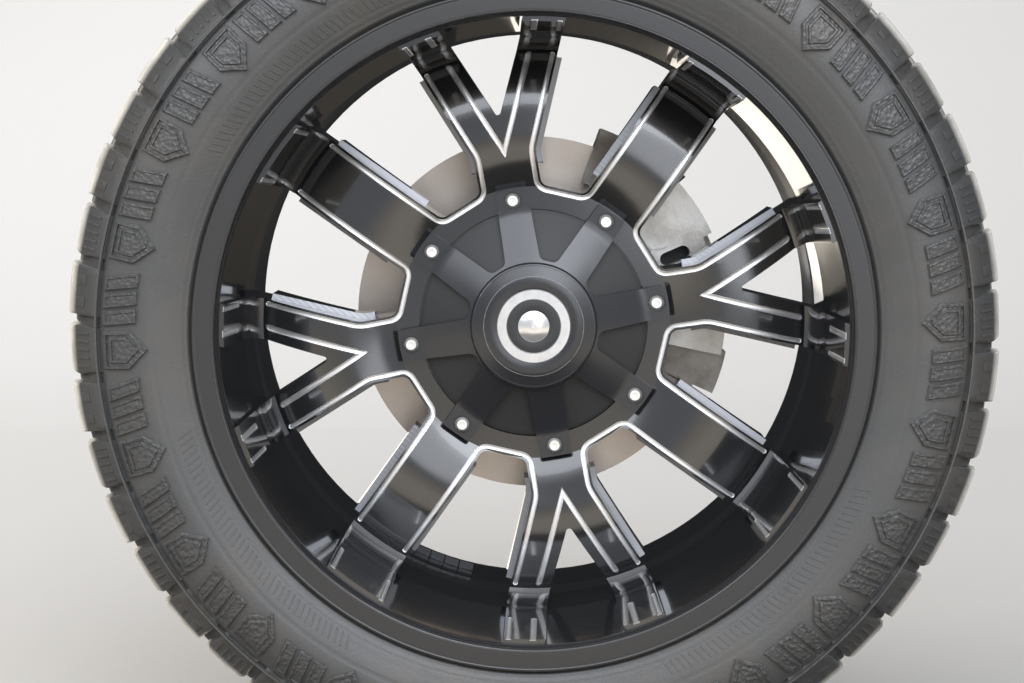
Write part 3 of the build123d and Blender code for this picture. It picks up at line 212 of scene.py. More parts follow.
def distances(line):
    """The distance along the line to each of its points."""
    return np.concatenate([[0], np.cumsum(np.linalg.norm(np.diff(line, axis=0), axis=1))])


def spaced(line, count):
    """The same line as `count` points at even steps of its length."""
    along = distances(line)
    return sample(line, along, np.linspace(0, along[-1], count))


def sideways(points):
    """Unit normals of a line: its tangent (a, b) turned to (-b, a)."""
    tangent = np.gradient(points, axis=0)
    tangent /= np.linalg.norm(tangent, axis=1, keepdims=True)
    return np.stack([-tangent[:, 1], tangent[:, 0]], -1)


# Materials

RANGE = ("Value", "From Min", "From Max", "To Min", "To Max")


def set_sockets(tree, node, sockets):
    """Gives a node's sockets these values or links."""
    for name, value in sockets.items():
        if isinstance(value, bpy.types.NodeSocket):
            tree.links.new(value, node.inputs[name])
        else:
            node.inputs[name].default_value = value


def add_node(tree, kind, sockets=None, **settings):
    """Adds a shader node of this kind with these settings and sockets."""
    made = tree.nodes.new(f"ShaderNode{kind}")
    for name, value in settings.items():
        setattr(made, name, value)
    set_sockets(tree, made, sockets or {})
    return made


def start_material(name, **surface):
    """A material, its node tree, its shader with these sockets (_ for a space), and Object coordinates."""
    material = bpy.data.materials.new(name)
    material.use_nodes = True
    tree = material.node_tree
    shader = tree.nodes["Principled BSDF"]
    set_sockets(tree, shader, {key.replace("_", " "): value for key, value in surface.items()})
    return material, tree, shader, add_node(tree, "TexCoord").outputs["Object"]


def rgba(shade, share=1.0):
    """A linear colour for a socket, at this share of its brightness."""
    return (*(np.array(shade) * share), 1.0)


def dress(tree, shader, colour, over=(), relief=()):
    """Gives a shader its colour and relief. The colours over it are given as (how much of it shows, colour)
    and the relief as (height, distance in metres, strength), each laid over the one before."""
    for share, shade in over:
        sockets = {"Factor": share, "A": colour, "B": shade}
        colour = add_node(tree, "Mix", sockets, data_type="RGBA").outputs["Result"]
    normal = {}
    for height, distance, strength in relief:
        sockets = {"Height": height, "Distance": distance, "Strength": strength, **normal}
        normal = {"Normal": add_node(tree, "Bump", sockets).outputs["Normal"]}
    set_sockets(tree, shader, {"Base Color": colour, **normal})


def from_axle(tree, place):
    """The distance from the axle: the length of (x, 0, z)."""
    flat = add_node(tree, "VectorMath", {0: place, 1: (1, 0, 1)}, operation="MULTIPLY")
    return add_node(tree, "VectorMath", {0: flat.outputs[0]}, operation="LENGTH").outputs["Value"]


def tyre_rubber(shades, part, tone, pebble):
    """Moulded natural and carbon-black rubber, a year on the road: matt, with soft blotches of dust 40 mm
    across, brown smears of dirt 110 mm across and a grain of 2.4 mm from the mould. The lugs and blocks are
    darker, with pebbles 4 mm across bitten into the mould. The tread's edge is painted pale: partly dust, and
    partly a painted highlight where the edge catches the light. Its middle is painted only a little pale."""
    surface = dict(Roughness=0.43, IOR=1.52, Specular_IOR_Level=0.95, Sheen_Weight=0.15, Sheen_Roughness=0.4)
    material, tree, shader, place = start_material(f"moulded_{part}_rubber", **surface)
    blotch, smear, grit = (
        add_node(tree, "TexNoise", {"Vector": place, **pattern}).outputs["Fac"]
        for pattern in (
            {"Scale": 25.0, "Detail": 5.0, "Roughness": 0.6},
            {"Scale": 9.0, "Detail": 7.0, "Roughness": 0.65},
            {"Scale": 420.0, "Detail": 3.0, "Roughness": 0.7},
        )
    )
    radius = from_axle(tree, place)
    # The second and third ranges mark the tread's edge, 403 to 414 mm from the axle, which is painted pale:
    # partly dust, partly a painted highlight where the edge catches the light
    dirty, worn, crown_fade = (
        add_node(tree, "MapRange", dict(zip(RANGE, limits))).outputs["Result"]
        for limits in (
            (smear, 0.48, 0.68, 0.0, 0.6),
            (radius, 403 * MM, 411 * MM, 0.0, 1.0),
            (radius, 411 * MM, 414 * MM, 2.2, 0.25),
        )
    )
    patchy_dust_and_highlight = add_node(tree, "Math", {0: worn, 1: blotch}, operation="MULTIPLY").outputs[0]
    dust_and_highlight = add_node(tree, "Math", {0: patchy_dust_and_highlight, 1: crown_fade}, operation="MULTIPLY", use_clamp=True)
    # The last layer paints the tread's edge pale with the dust colour: dust, and a painted highlight
    over = [
        (blotch, rgba(shades.rubber, 1.28 * tone)),
        (dirty, rgba(shades.stain, tone)),
        (dust_and_highlight.outputs[0], rgba(shades.dust)),
    ]
    relief = [(grit, 0.5 * MM, 0.5)]
    if pebble:
        cells = add_node(tree, "TexVoronoi", {"Vector": place, "Scale": 260.0})
        relief.append((cells.outputs["Distance"], pebble, 0.7))
    dress(tree, shader, rgba(shades.rubber, 0.74 * tone), over, relief)
    return material


def gloss_black(shades):
    """Gloss black powder coat under clear lacquer on cast aluminium: a dark mirror with an orange peel of
    3 mm that is hardly seen."""
    coat = dict(Roughness=0.16, IOR=1.5, Specular_IOR_Level=0.9, Coat_Weight=1.0, Coat_Roughness=0.05)
    material, tree, shader, place = start_material("gloss_black_powder_coat", **coat)
    peel = add_node(tree, "TexNoise", {"Vector": place, "Scale": 330.0, "Detail": 1.0}).outputs["Fac"]
    dress(tree, shader, rgba(shades.gloss), relief=[(peel, 0.02 * MM, 1.0)])
    return material


def satin_black(shades):
    """Satin black powder coat: an even dark grey sheen with a grain of 1.1 mm, rubbed bright on the lip's
    rounded inner edge, 279 to 282 mm from the axle."""
    material, tree, shader, place = start_material("satin_black_powder_coat", IOR=1.5, Specular_IOR_Level=0.8)
    limits = (from_axle(tree, place), 279 * MM, 282 * MM, 0.16, 0.36)
    polish = add_node(tree, "MapRange", dict(zip(RANGE, limits)))
    set_sockets(tree, shader, {"Roughness": polish.outputs["Result"]})
    grit = add_node(tree, "TexNoise", {"Vector": place, "Scale": 900.0, "Detail": 2.0}).outputs["Fac"]
    dress(tree, shader, rgba(shades.satin), relief=[(grit, 0.05 * MM, 0.5)])
    return material


def cap_coat(shades):
    """Half-gloss black powder coat on the cap's arms and boss, and a duller coat on the dish between them.
    The dish is behind a cone half way between it and the arms' faces: depth = start + slope radius."""
    slope, start = 0.375, 80.25 * MM
    material, tree, shader, place = start_material("half_gloss_powder_coat", IOR=1.5, Specular_IOR_Level=0.8)
    depth = add_node(tree, "SeparateXYZ", {"Vector": place}).outputs["Y"]
    sockets = {0: from_axle(tree, place), 1: -slope, 2: depth}
    cone = add_node(tree, "Math", sockets, operation="MULTIPLY_ADD").outputs[0]
    dish = add_node(tree, "Math", {0: cone, 1: LIP_Y + start}, operation="GREATER_THAN").outputs[0]
    polish = add_node(tree, "MapRange", {"Value": dish, "To Min": 0.24, "To Max": 0.6})
    set_sockets(tree, shader, {"Roughness": polish.outputs["Result"]})
    grit = add_node(tree, "TexNoise", {"Vector": place, "Scale": 700.0, "Detail": 2.0}).outputs["Fac"]
    dress(tree, shader, rgba(shades.cap), [(dish, rgba(shades.dish))], [(grit, 0.05 * MM, 0.4)])
    return material


def milled_aluminium(shades):
    """Aluminium cut bright with a ball-nosed mill and lacquered: nearly white, with fine cutter marks, drawn
    1.4 mm apart, as coarse as they need to show."""
    coat = dict(Metallic=0.9, Roughness=0.34, Coat_Weight=0.4)
    material, tree, shader, place = start_material("milled_aluminium", **coat)
    marks = add_node(tree, "TexNoise", {"Vector": place, "Scale": 700.0, "Detail": 2.0}).outputs["Fac"]
    dress(tree, shader, rgba(shades.milled), relief=[(marks, 0.08 * MM, 0.6)])
    return material


def bare_ledge(shades):
    """Aluminium left as the roughing cutter leaves it: mid grey, hatched by cutter marks 4.4 mm apart."""
    material, tree, shader, place = start_material("rough_milled_aluminium", Metallic=0.85, Roughness=0.42)
    sockets = {"Vector": place, "Scale": 100.0, "Distortion": 1.2, "Detail": 1.0}
    hatch = add_node(tree, "TexWave", sockets, bands_direction="DIAGONAL")
    dress(tree, shader, rgba(shades.ledge), relief=[(hatch.outputs["Fac"], 0.12 * MM, 0.6)])
    return material


def plated_steel(name, shade, roughness):
    """Zinc or chrome plated steel, with the uneven polish of a barrel-plated fastener."""
    material, tree, shader, place = start_material(name, Base_Color=rgba(linear(shade)), Metallic=0.8)
    cloud = add_node(tree, "TexNoise", {"Vector": place, "Scale": 160.0, "Detail": 3.0})
    sockets = {"Value": cloud.outputs["Fac"], "To Min": roughness * 0.6, "To Max": roughness * 1.5}
    polish = add_node(tree, "MapRange", sockets)
    set_sockets(tree, shader, {"Roughness": polish.outputs["Result"]})
    return material


def ground_disc(shades):
    """Grey cast iron, turned and worn bright by the pads, with a bloom of rust: warm grey, with fine rings of
    wear about 1 mm apart."""
    material, tree, shader, place = start_material("ground_cast_iron", Metallic=0.6, Roughness=0.38)
    sockets = {"W": from_axle(tree, place), "Scale": 900.0, "Detail": 4.0}
    rings = add_node(tree, "TexNoise", sockets, noise_dimensions="1D")
    bloom = add_node(tree, "TexNoise", {"Vector": place, "Scale": 14.0, "Detail": 6.0})
    rust = [(bloom.outputs["Fac"], rgba(shades.bloom))]
    dress(tree, shader, rgba(shades.disc), rust, [(rings.outputs["Fac"], 0.1 * MM, 0.5)])
    return material


def cast_metal(name, shade, stain, roughness, metallic=0.2):
    """Sand-cast iron, painted, sealed or rusted: dull, with pits of 2.5 mm from the sand and stains 33 mm
    across."""
    material, tree, shader, place = start_material(name, Metallic=metallic, Roughness=roughness)
    sockets = {"Vector": place, "Scale": 400.0, "Detail": 4.0, "Roughness": 0.65}
    pits = add_node(tree, "TexNoise", sockets)
    cloud = add_node(tree, "TexNoise", {"Vector": place, "Scale": 30.0, "Detail": 5.0})
    sockets = {"Value": cloud.outputs["Fac"], "From Min": 0.42, "From Max": 0.68}
    stained = add_node(tree, "MapRange", sockets).outputs["Result"]
    over = [(stained, rgba(linear(stain)))]
    dress(tree, shader, rgba(linear(shade)), over, [(pits.outputs["Fac"], 0.5 * MM, 0.6)])
    return material


def moulded(name, shade, roughness, size=0.8 * MM):
    """Moulded rubber, friction lining or dull paint: one colour with a tooth of this size."""
    material, tree, shader, place = start_material(name, Roughness=roughness)
    sockets = {"Vector": place, "Scale": 1 / size, "Detail": 3.0}
    tooth = add_node(tree, "TexNoise", sockets).outputs["Fac"]
    lighter = [(tooth, rgba(linear(shade), 1.3))]
    dress(tree, shader, rgba(linear(shade), 0.7), lighter, [(tooth, 0.15 * MM, 0.5)])
    return material


def painted_floor(shades):
    """Matt pale floor paint: even, without shine."""
    return start_material("painted_floor", Base_Color=rgba(shades.floor), Roughness=0.9)[0]


MADE = {}


def shared(make, *arguments):
    """The material that this function makes, made once for each finish."""
    key = (make.__name__, *arguments[1:])
    if key not in MADE:
        MADE[key] = make(*arguments)
    return MADE[key]


# Tyre. A half section is (radius, place), with the place counted outwards from the tyre's middle.

CARCASS = np.array(
    [
        (281.6, 128), (281.6, 151), (290, 153.5), (296.5, 154.5), (299.2, 156.5), (300.4, 158.8),
        (304, 160.4), (312, 162.4), (325, 166.2), (338, 168.6), (351, 168.6), (364, 166.4), (374, 162.5),
        (380, 159.5), (386, 153), (392, 145), (398, 136), (402, 127), (403.6, 116), (404, 100), (404, 50),
        (404, 0),
    ]
) * MM
LINING = np.array(
    [(378, 0), (378, 90), (374, 112), (358, 146), (332, 156.5), (310, 150), (297, 138), (292, 126)]
) * MM
CROWN = np.array(
    [
        (415.2, 92), (414.6, 108), (413.2, 121), (411, 129), (407.5, 135.5), (402, 142), (396, 149.5),
        (389, 157), (382, 163), (380, 164),
    ]
) * MM
FOOT = np.array(
    [
        (403.4, 92), (403.2, 108), (402.2, 118), (400.5, 124), (397, 130), (392, 138), (387, 145),
        (382, 151.5), (376.5, 157), (374.5, 158.5),
    ]
) * MM
MOULD_RIB = np.array(
    [(378.8, 157), (379.2, 163.3), (380, 164.7), (381.2, 164.7), (382, 163.3), (382.4, 157)]
) * MM
# In millimetres the radius of the rib below the shoulder, and the sidewall's lines as (radius, width,
# height); then the places past which the lines are moulded and the lugs have their footing, and the steps
# round a ring
RIB_R = 379.5
SIDE_LINES = ((304, 1.2, 0.8), (309, 0.9, 0.5), (331.5, 0.8, 0.5))
SIDEWALL_PLACE, SKIN_PLACE = 150 * MM, 125 * MM
TURNS = 288

# The edges of the shoulder blocks from crown to sidewall, in degrees from the pitch's middle
SLIT_BLOCK = ((-2.7, -3.1, -2.6, -3.1, -2.8, -2.9), (2.6, 3.2, 2.8, 3.2, 2.9, 2.9))
PLAIN_BLOCK = ((4.6, 4.2, 4.4, 4.4, 4.4), (10.1, 10.8, 10.6, 10.6, 10.6))
GAP_STEPS = ((3.3, 4.1), (10.8, 11.7))
STEP_HEIGHT = 0.42
# Pads on the blocks: their middles and half width in degrees, and where they end on the block's section
SHORT_BARS = ((-2.1, -1.05, 0, 1.05, 2.1), 0.16, 0.86)
SQUARES = ((6.1, 8.9), 0.6, 0.8)
PAD_START = 0.62
PAD_RISE = 0.9 * MM

# Side lugs: half a shield's width and the radii of its nose's shoulders and point, where the bars' feet
# begin along the circle, and a bar's width and lean; then a line of the hatching as (along, radius), and in
# degrees the arcs and the step of the hatching
SHIELD_HALF, SHIELD_NOSE, SHIELD_POINT = 16.5 * MM, 351 * MM, 334 * MM
BAR_FEET = (-21.75 * MM, -6.25 * MM, 9.25 * MM)
BAR_WIDTH, BAR_LEAN = 12.5 * MM, 6 * MM
HATCH_LINE = np.array([(-3.0, 311), (-1.4, 311), (2.6, 323), (1.0, 323)]) * MM
HATCH_HEIGHT = 0.5 * MM
HATCH_ARCS = ((108, 150), (196, 240), (292, 336))
HATCH_STEP = 1.1

# Centre blocks: the rows' limits in millimetres, the crown's radius, its fall at the shoulder's place, and
# the blocks' foot; then in degrees the zigzag edge, the order in which a sipe takes up its points, the steps
# from row to row and from block to block, where the sipes and the far edge are, and half a sipe's width
ROWS = ((-83.5, -34.5), (-25.5, 25.5), (34.5, 83.5))
CROWN_R, CROWN_FALL, CROWN_PLACE, CENTRE_FOOT_R = 416 * MM, 2 * MM, 135 * MM, 403.6 * MM
ZIGZAG = np.array([0.7, 1.0, 0.5, 0.9, 0.6])
SIPE_ORDER = ((2, 1, 0, 3, 2, 1, 4, 3, 2), (1, 2, 3, 0, 1, 2, 3, 4, 1), (2, 1, 0, 3, 2, 1, 4, 3, 2))
ROW_SHIFT, BLOCK_STEP = 2.5, 7.5
SIPES, FAR_EDGE, SIPE_HALF = (2.0, 4.1), 6.1, 0.07


def section_curve(points, count):
    """The rounded section through these points, evenly spaced."""
    return spaced(rounds(points), count)


def revolve(section, angles, side):
    """A half section turned through the angles: depth = middle - side times place."""
    return on_wheel(section[..., 0], angles, MIDDLE - side * section[..., 1])


def carcass_section(rib_height):
    """The outer half from the bead to the crown, with moulded lines: each is a bell curve of height times
    exp(-((r - r0) / width)^2) along the surface's normal."""
    line = section_curve(CARCASS, 150)
    outward = -sideways(line)
    for radius, width, height in (*SIDE_LINES, (RIB_R, 1.0, rib_height / MM)):
        near = np.exp(-(((line[:, 0] - radius * MM) / (width * MM)) ** 2)) * (line[:, 1] > SIDEWALL_PLACE)
        line = line + outward * (near * height * MM)[:, None]
    return line


def carcass(rib_height):
    """The whole section, both outer halves and the lining, carried once round the axle."""
    half, lining = carcass_section(rib_height), section_curve(LINING, 20)
    mirror = np.array([1, -1])
    ring = np.concatenate([half, (half * mirror)[-2::-1], (lining * mirror)[::-1], lining[1:]])
    return revolve(ring[None], np.arange(TURNS)[:, None] * 360 / TURNS, 1)


def pillow(low, high, crown, foot, chamfer, rows, columns, side):
    """One tread block as a closed grid. Its sides fall from crown to foot: a point at (t, u) with lift h is
    foot(t) + h (crown(t) - foot(t)), at angle low(t) + u (high(t) - low(t)), and h drops from 1 at the
    chamfer's inner edge over its lower edge to 0 at the rim of the grid."""
    lower_edge = 0.88

    def ramp(count, share):
        shares = np.concatenate([[0, 0], np.linspace(share, 1 - share, count), [1, 1]])
        return shares, np.concatenate([[0, lower_edge], np.ones(count), [lower_edge, 0]])

    low, high = np.atleast_1d(low), np.atleast_1d(high)
    t, t_lift = ramp(rows, chamfer / np.linalg.norm(crown[-1] - crown[0]))
    u, u_lift = ramp(columns, chamfer / (np.radians(np.mean(high - low)) * crown[:, 0].mean()))
    lift = np.minimum(t_lift[:, None], u_lift[None])[..., None]
    knots = np.linspace(0, 1, len(crown))
    upper, lower = sample(crown, knots, t)[:, None], sample(foot, knots, t)[:, None]
    start, end = (np.interp(t, np.linspace(0, 1, len(line)), line)[:, None] for line in (low, high))
    angle = start + u[None] * (end - start)
    heights = (lift, 0 * lift)
    return [(revolve(lower + height * (upper - lower), angle, side), False, False) for height in heights]


def spread(patches, angles):
    """The patches copied to each angle."""
    return [(turned_copies(grid, angles), *wrap) for grid, *wrap in patches]


def on_sidewall(points, lift, side, skin):
    """Sidewall points: (along the circle, radius) pairs lifted off the carcass along the axle."""
    radius = points[..., 1]
    place = np.interp(radius, *skin)
    return on_wheel(radius, np.degrees(points[..., 0] / radius), MIDDLE - side * (place + lift))


def inset(outline, distance):
    """A convex outline moved inwards: each corner goes along the mitre of its two edges."""
    before = outline - np.roll(outline, 1, 0)
    after = np.roll(outline, -1, 0) - outline
    turn = np.sign(np.sum(before[:, 0] * after[:, 1] - before[:, 1] * after[:, 0]))
    first, second = (
        np.stack([-edge[:, 1], edge[:, 0]], -1) / np.linalg.norm(edge, axis=1)[:, None]
        for edge in (before, after)
    )
    mitre = first + second
    return outline + turn * distance * mitre / np.sum(mitre * first, 1)[:, None]


def subdivided(outline, count):
    """An outline with `count` points on each edge."""
    share = np.arange(count)[None, :, None] / count
    return (outline[:, None] * (1 - share) + np.roll(outline, -1, 0)[:, None] * share).reshape(-1, 2)


def side_lug(outline, height, skin, side, pocket=0.0, border=3.5 * MM):
    """A flat-topped lug as rings from its foot to its middle, with a sunk pocket inside its border."""
    sunk, wall = 1.5 * MM, 0.6 * MM
    chamfer = min(0.8 * MM, height / 2)
    outline = subdivided(outline, 4)
    steps = [(0, -sunk), (0, height - chamfer), (chamfer, height)]
    if pocket:
        steps += [(border, height), (border + wall, height - pocket)]
    outlines = [inset(outline, step) for step, lift in steps]
    lifts = [lift for step, lift in steps]
    middle, edge = outline.mean(0), outlines[-1]
    for share in (0.6, 0.25, 0.0):
        outlines.append(middle + share * (edge - middle))
        lifts.append(lifts[-1])
    rings = [on_sidewall(line, lift, side, skin) for line, lift in zip(outlines, lifts)]
    return (capped(np.stack(rings)), False, True)


class WHEELEND_OT_tyre(Operator):
    """Carcass, shoulder blocks, side lugs and centre blocks of the tyre"""

    bl_idname = "wheelend.tyre"
    bl_label = "Tyre"

    def execute(self, context):
        sizes, shades = context.scene.tyre_sizes, context.scene.wheel_finishes
        wall = shared(tyre_rubber, shades, "sidewall", 1.0, 0.0)
        lug = shared(tyre_rubber, shades, "lug", 0.72, 1.0 * MM)
        block = shared(tyre_rubber, shades, "block", 0.86, 0.3 * MM)
        ring = (carcass(sizes.rib_height), True, True)
        build("tyre_carcass", [ring], wall, replaces=["tyre"])
        pitch = 360 / sizes.pitches
        angles = PITCH_PHASE + pitch * np.arange(sizes.pitches)
        half = carcass_section(sizes.rib_height)
        half = half[half[:, 1] > SKIN_PLACE]
        skin = half[np.argsort(half[:, 0])].T
        for side, shift, where in ((1, 0.0, "outboard"), (-1, pitch / 4, "inboard")):
            self.shoulder(sizes, block, angles + shift, side, where)
            self.lugs(sizes, lug, angles + shift, skin, side, where)
            self.hatching(wall, skin, side, where)
        self.centre(sizes, block, angles)
        return {"FINISHED"}

    def shoulder(self, sizes, rubber, angles, side, where):
        """Two blocks to a pitch. The one over the shield is a little lower and has five short bars beside
        the mould line, the one over the leaning bars has two small squares, and each gap has a low step. The
        mould line is a ring across them."""
        crown, foot = section_curve(CROWN, 24), section_curve(FOOT, 24)
        lower = crown - np.array([0.9, 0.7]) * MM
        edge = sizes.block_round
        patches = pillow(*SLIT_BLOCK, lower, foot, edge, 14, 9, side)
        patches += pillow(*PLAIN_BLOCK, crown, foot, edge, 14, 9, side)
        for low, high in GAP_STEPS:
            patches += pillow(low, high, foot + STEP_HEIGHT * (crown - foot), foot, edge / 2, 8, 3, side)
        for curve, (middles, half, end) in ((lower, SHORT_BARS), (crown, SQUARES)):
            for middle in middles:
                patches += self.raised(curve, end, middle - half, middle + half, side)
        build(f"shoulder_blocks_{where}", spread(patches, angles), rubber)
        rib = revolve(MOULD_RIB[None], np.arange(TURNS)[:, None] * 360 / TURNS, side)
        build(f"mould_rib_{where}", [(rib, True, True)], rubber)

    def raised(self, curve, end, low, high, side):
        """A small flat pad on a block, to a share of the block's section and between two angles."""
        base = sample(curve, np.linspace(0, 1, len(curve)), np.linspace(PAD_START, end, 6))
        lift = -sideways(base) * PAD_RISE
        return pillow(low, high, base + lift, base - lift, 0.5 * MM, 3, 2, side)

    def lugs(self, sizes, rubber, angles, skin, side, where):
        """A shield that points inwards and three leaning bars to a pitch, each with a sunk face."""
        height, low, high = sizes.lug_height, sizes.lug_inner, sizes.lug_outer
        half, nose = SHIELD_HALF, SHIELD_NOSE
        shield = np.array([(-half, high), (-half, nose), (0, SHIELD_POINT), (half, nose), (half, high)])
        inner = inset(shield, 5.2 * MM)
        shields = [
            side_lug(shield, height, skin, side, pocket=1.8 * MM, border=2.6 * MM),
            side_lug(inner, height - 0.5 * MM, skin, side, pocket=1.4 * MM, border=2.4 * MM),
        ]
        bars = []
        for foot in BAR_FEET:
            top = foot + BAR_LEAN
            bar = np.array([(foot, low), (foot + BAR_WIDTH, low), (top + BAR_WIDTH, high), (top, high)])
            bars.append(side_lug(bar, height, skin, side, pocket=0.9 * MM, border=2.4 * MM))
        patches = spread(shields, angles) + spread(bars, angles + 180 / sizes.pitches)
        build(f"side_lugs_{where}", patches, rubber)

    def hatching(self, rubber, skin, side, where):
        """Faint moulded hatching in three arcs next to the bead: leaning lines 1.6 mm wide."""
        angles = np.concatenate([np.arange(start, end, HATCH_STEP) for start, end in HATCH_ARCS])
        patch = side_lug(HATCH_LINE, HATCH_HEIGHT, skin, side)
        build(f"side_hatching_{where}", spread([patch], angles), rubber)

    def centre(self, sizes, rubber, angles):
        """Three rows of blocks, turned a third of a block from each other. Each block has zigzag edges and
        two zigzag sipes, slits 1 mm wide, that cut it into three leaves."""
        patches = []
        for row, (limits, order) in enumerate(zip(ROWS, SIPE_ORDER)):
            place = np.linspace(*limits, 9) * MM
            top = np.stack([CROWN_R - CROWN_FALL * (place / CROWN_PLACE) ** 2, place], -1)
            base = np.stack([CENTRE_FOOT_R + 0 * place, place], -1)
            edge = ZIGZAG + (2 - row) * ROW_SHIFT
            cuts = [edge, *(edge[list(order)] + sipe for sipe in SIPES), edge + FAR_EDGE]
            for block in (0.0, BLOCK_STEP):
                for first, last in zip(cuts, cuts[1:]):
                    low = first + block + SIPE_HALF * (first is not edge)
                    patches += self.leaf(low, last + block - SIPE_HALF, top, base, sizes.block_round)
        build("centre_blocks", spread(patches, angles), rubber)

    def leaf(self, low, high, top, base, edge):
        """A slice of a block between two zigzag edges, both given at even steps of the block's width."""
        steps = np.linspace(0, 1, len(top))
        low, high = (np.interp(steps, np.linspace(0, 1, len(line)), line) for line in (low, high))
        return pillow(low, high, top, base, edge / 2, 9, 2, 1)


# Wheel

PAIR_ANGLES = SPOKE_PHASE + 2 * SPOKE_STEP * np.arange(SPOKE_PAIRS)
# The spokes' face and the lip ring as (radius, depth)
FACE_POINTS = np.array([(126.5, 124), (185, 113), (252, 134)]) * MM
LIP_FACE = np.array(
    [
        (297.05, 7.2), (297.3, 3), (297.2, 0.6), (296.4, -0.5), (295.2, -0.5), (294.6, 0), (293.8, -0.15),
        (281.2, -0.15), (279.4, -0.1), (277.9, 0.7), (277.2, 2.4), (274.75, 6.2), (274.5, 9),
    ]
) * MM
LIP_BACK = np.array([(276.2, 9), (277.5, 6), (280, 3), (294, 3), (295.5, 7)]) * MM
# The pads' radius at the lip and its fall over their length, where their grooves start, how far a groove's
# floor stands proud of the casting's own, and the ledges' depth and the radii they run between
PAD_R, PAD_FALL, PAD_LENGTH = 271 * MM, 8 * MM, 113 * MM
LIP_GROOVE_START = 9.2 * MM
GROOVE_SKIN = 0.04 * MM
LEDGE_DEPTH, LEDGE_START, LEDGE_END = 144 * MM, 148 * MM, 246 * MM
# The medallion's thickness, and the rings of enamel on it as inner and outer radius in millimetres
MEDALLION_THICKNESS = 2.5 * MM
ENAMEL_RINGS = ((14.2, 24.6), (33.6, 45.5))


def meet(point, angle, other, other_angle):
    """Where two front view lines cross."""
    a, b = (np.array([np.cos(np.radians(turn)), np.sin(np.radians(turn))]) for turn in (angle, other_angle))
    gap = other - point
    return point + a * (gap[0] * b[1] - gap[1] * b[0]) / (a[0] * b[1] - a[1] * b[0])


def towards(angle, distance=1.0):
    turn = np.radians(angle)
    return distance * np.array([np.cos(turn), np.sin(turn)])


def at_radius(point, angle, radius):
    """Where the ray from a point at this angle reaches each radius: the far root of |p + t d| = r."""
    step = towards(angle)
    along = point @ step
    return point + step * (np.sqrt(radius**2 - point @ point + along**2) - along)[..., None]


def filleted(corners, radii, samples=10):
    """A path with an arc at each inner corner: centre - n r cos q + a r sin q, from the incoming direction a
    and its normal n, with q running over the corner's turn."""
    path = [corners[:1]]
    for before, corner, after, radius in zip(corners, corners[1:], corners[2:], radii):
        a = (corner - before) / np.linalg.norm(corner - before)
        b = (after - corner) / np.linalg.norm(after - corner)
        cross = a[0] * b[1] - a[1] * b[0]
        turn = np.arctan2(abs(cross), a @ b)
        normal = np.sign(cross) * np.array([-a[1], a[0]])
        centre = corner - a * radius * np.tan(turn / 2) + normal * radius
        q = np.linspace(0, turn, samples)[:, None]
        path.append(centre - normal * radius * np.cos(q) + a * radius * np.sin(q))
    return np.concatenate([*path, corners[-1:]])


def window_path(sizes, margin, reach):
    """A line at this margin outside a window's edge, from the branch of a forked spoke on +X, round the sill
    and out along the straight spoke. Both its ends are at the radius `reach`."""
    sill_angle = SPOKE_STEP / 2
    branch_at = np.array([sizes.fork_along, sizes.neck_half]) - margin * towards(sizes.fork_angle + 90)
    neck_at = np.array([0, sizes.neck_half - margin])
    sill_at = towards(sill_angle, sizes.sill - margin)
    straight_at = towards(SPOKE_STEP - 90, sizes.straight_half - margin)
    corners = [
        at_radius(branch_at, sizes.fork_angle, reach),
        meet(neck_at, 0, branch_at, sizes.fork_angle),
        meet(neck_at, 0, sill_at, sill_angle + 90),
        meet(straight_at, SPOKE_STEP, sill_at, sill_angle + 90),
        at_radius(straight_at, SPOKE_STEP, reach),
    ]
    fillets = np.array([sizes.fork_fillet, sizes.sill_fillet, sizes.sill_fillet]) + margin
    return filleted(np.array(corners), fillets)


def face_depth(radius):
    """The depth of the spokes' face: a circle through its three points, flat inside the first."""
    rows = 2 * (FACE_POINTS[1:] - FACE_POINTS[0])
    centre = np.linalg.solve(rows, np.sum(FACE_POINTS[1:] ** 2 - FACE_POINTS[0] ** 2, axis=1))
    size = np.linalg.norm(FACE_POINTS[0] - centre)
    arc = centre[1] - np.sqrt(np.maximum(size**2 - (radius - centre[0]) ** 2, 0))
    return np.where(radius < FACE_POINTS[0, 0], FACE_POINTS[0, 1], arc)


def pad_radius(depth):
    """The raised pads between lip and spokes taper inwards over their length."""
    return PAD_R - PAD_FALL * depth / PAD_LENGTH


def hollow(width, depth, sink=0.5 * MM):
    """A milled groove's section as (across, depth below the face): the top is depth (1 - x^4) less a skin,
    x = -1 ... 1 across the width, and a flat underside sinks into the casting and closes it."""
    x = np.array([-1, -0.94, -0.82, -0.6, -0.3, 0, 0.3, 0.6, 0.82, 0.94, 1])
    top = np.stack([x * width / 2, depth * (1 - x**4) - GROOVE_SKIN], -1)
    under = np.stack([x[::-2] * width / 2 * 0.98, 0 * x[::-2] + depth + sink], -1)
    return np.concatenate([top, under])


def tapered(path, width):
    """How much of the width each point of a path keeps: both ends are a half circle of the width."""
    along = distances(path)
    near = np.clip(1 - np.minimum(along, along[-1] - along) / (width / 2), 0, 1)
    return np.sqrt(1 - near**2) * 0.98 + 0.02


def face_strip(path, section, keep):
    """A section carried along a front view path on the spokes' face."""
    points = path[:, None] + sideways(path)[:, None] * section[None, :, :1] * keep[:, None, None]
    depth = face_depth(np.linalg.norm(points, axis=-1)) + section[None, :, 1]
    return capped(in_front(points, depth))


def both_sides(grid):
    """A grid and its mirror image across the spoke's middle line, as two copies."""
    return np.stack([grid, grid * np.array([1, 1, -1])])


def dense_ends(path, count, width):
    """The path respaced with more points in its rounded ends."""
    along = distances(path)
    fine = np.array([0, 0.04, 0.12, 0.25, 0.45, 0.7, 1.0]) * width / 2
    even = np.linspace(width / 2, along[-1] - width / 2, count)[1:-1]
    return sample(path, along, np.concatenate([fine, even, along[-1] - fine[::-1]]))


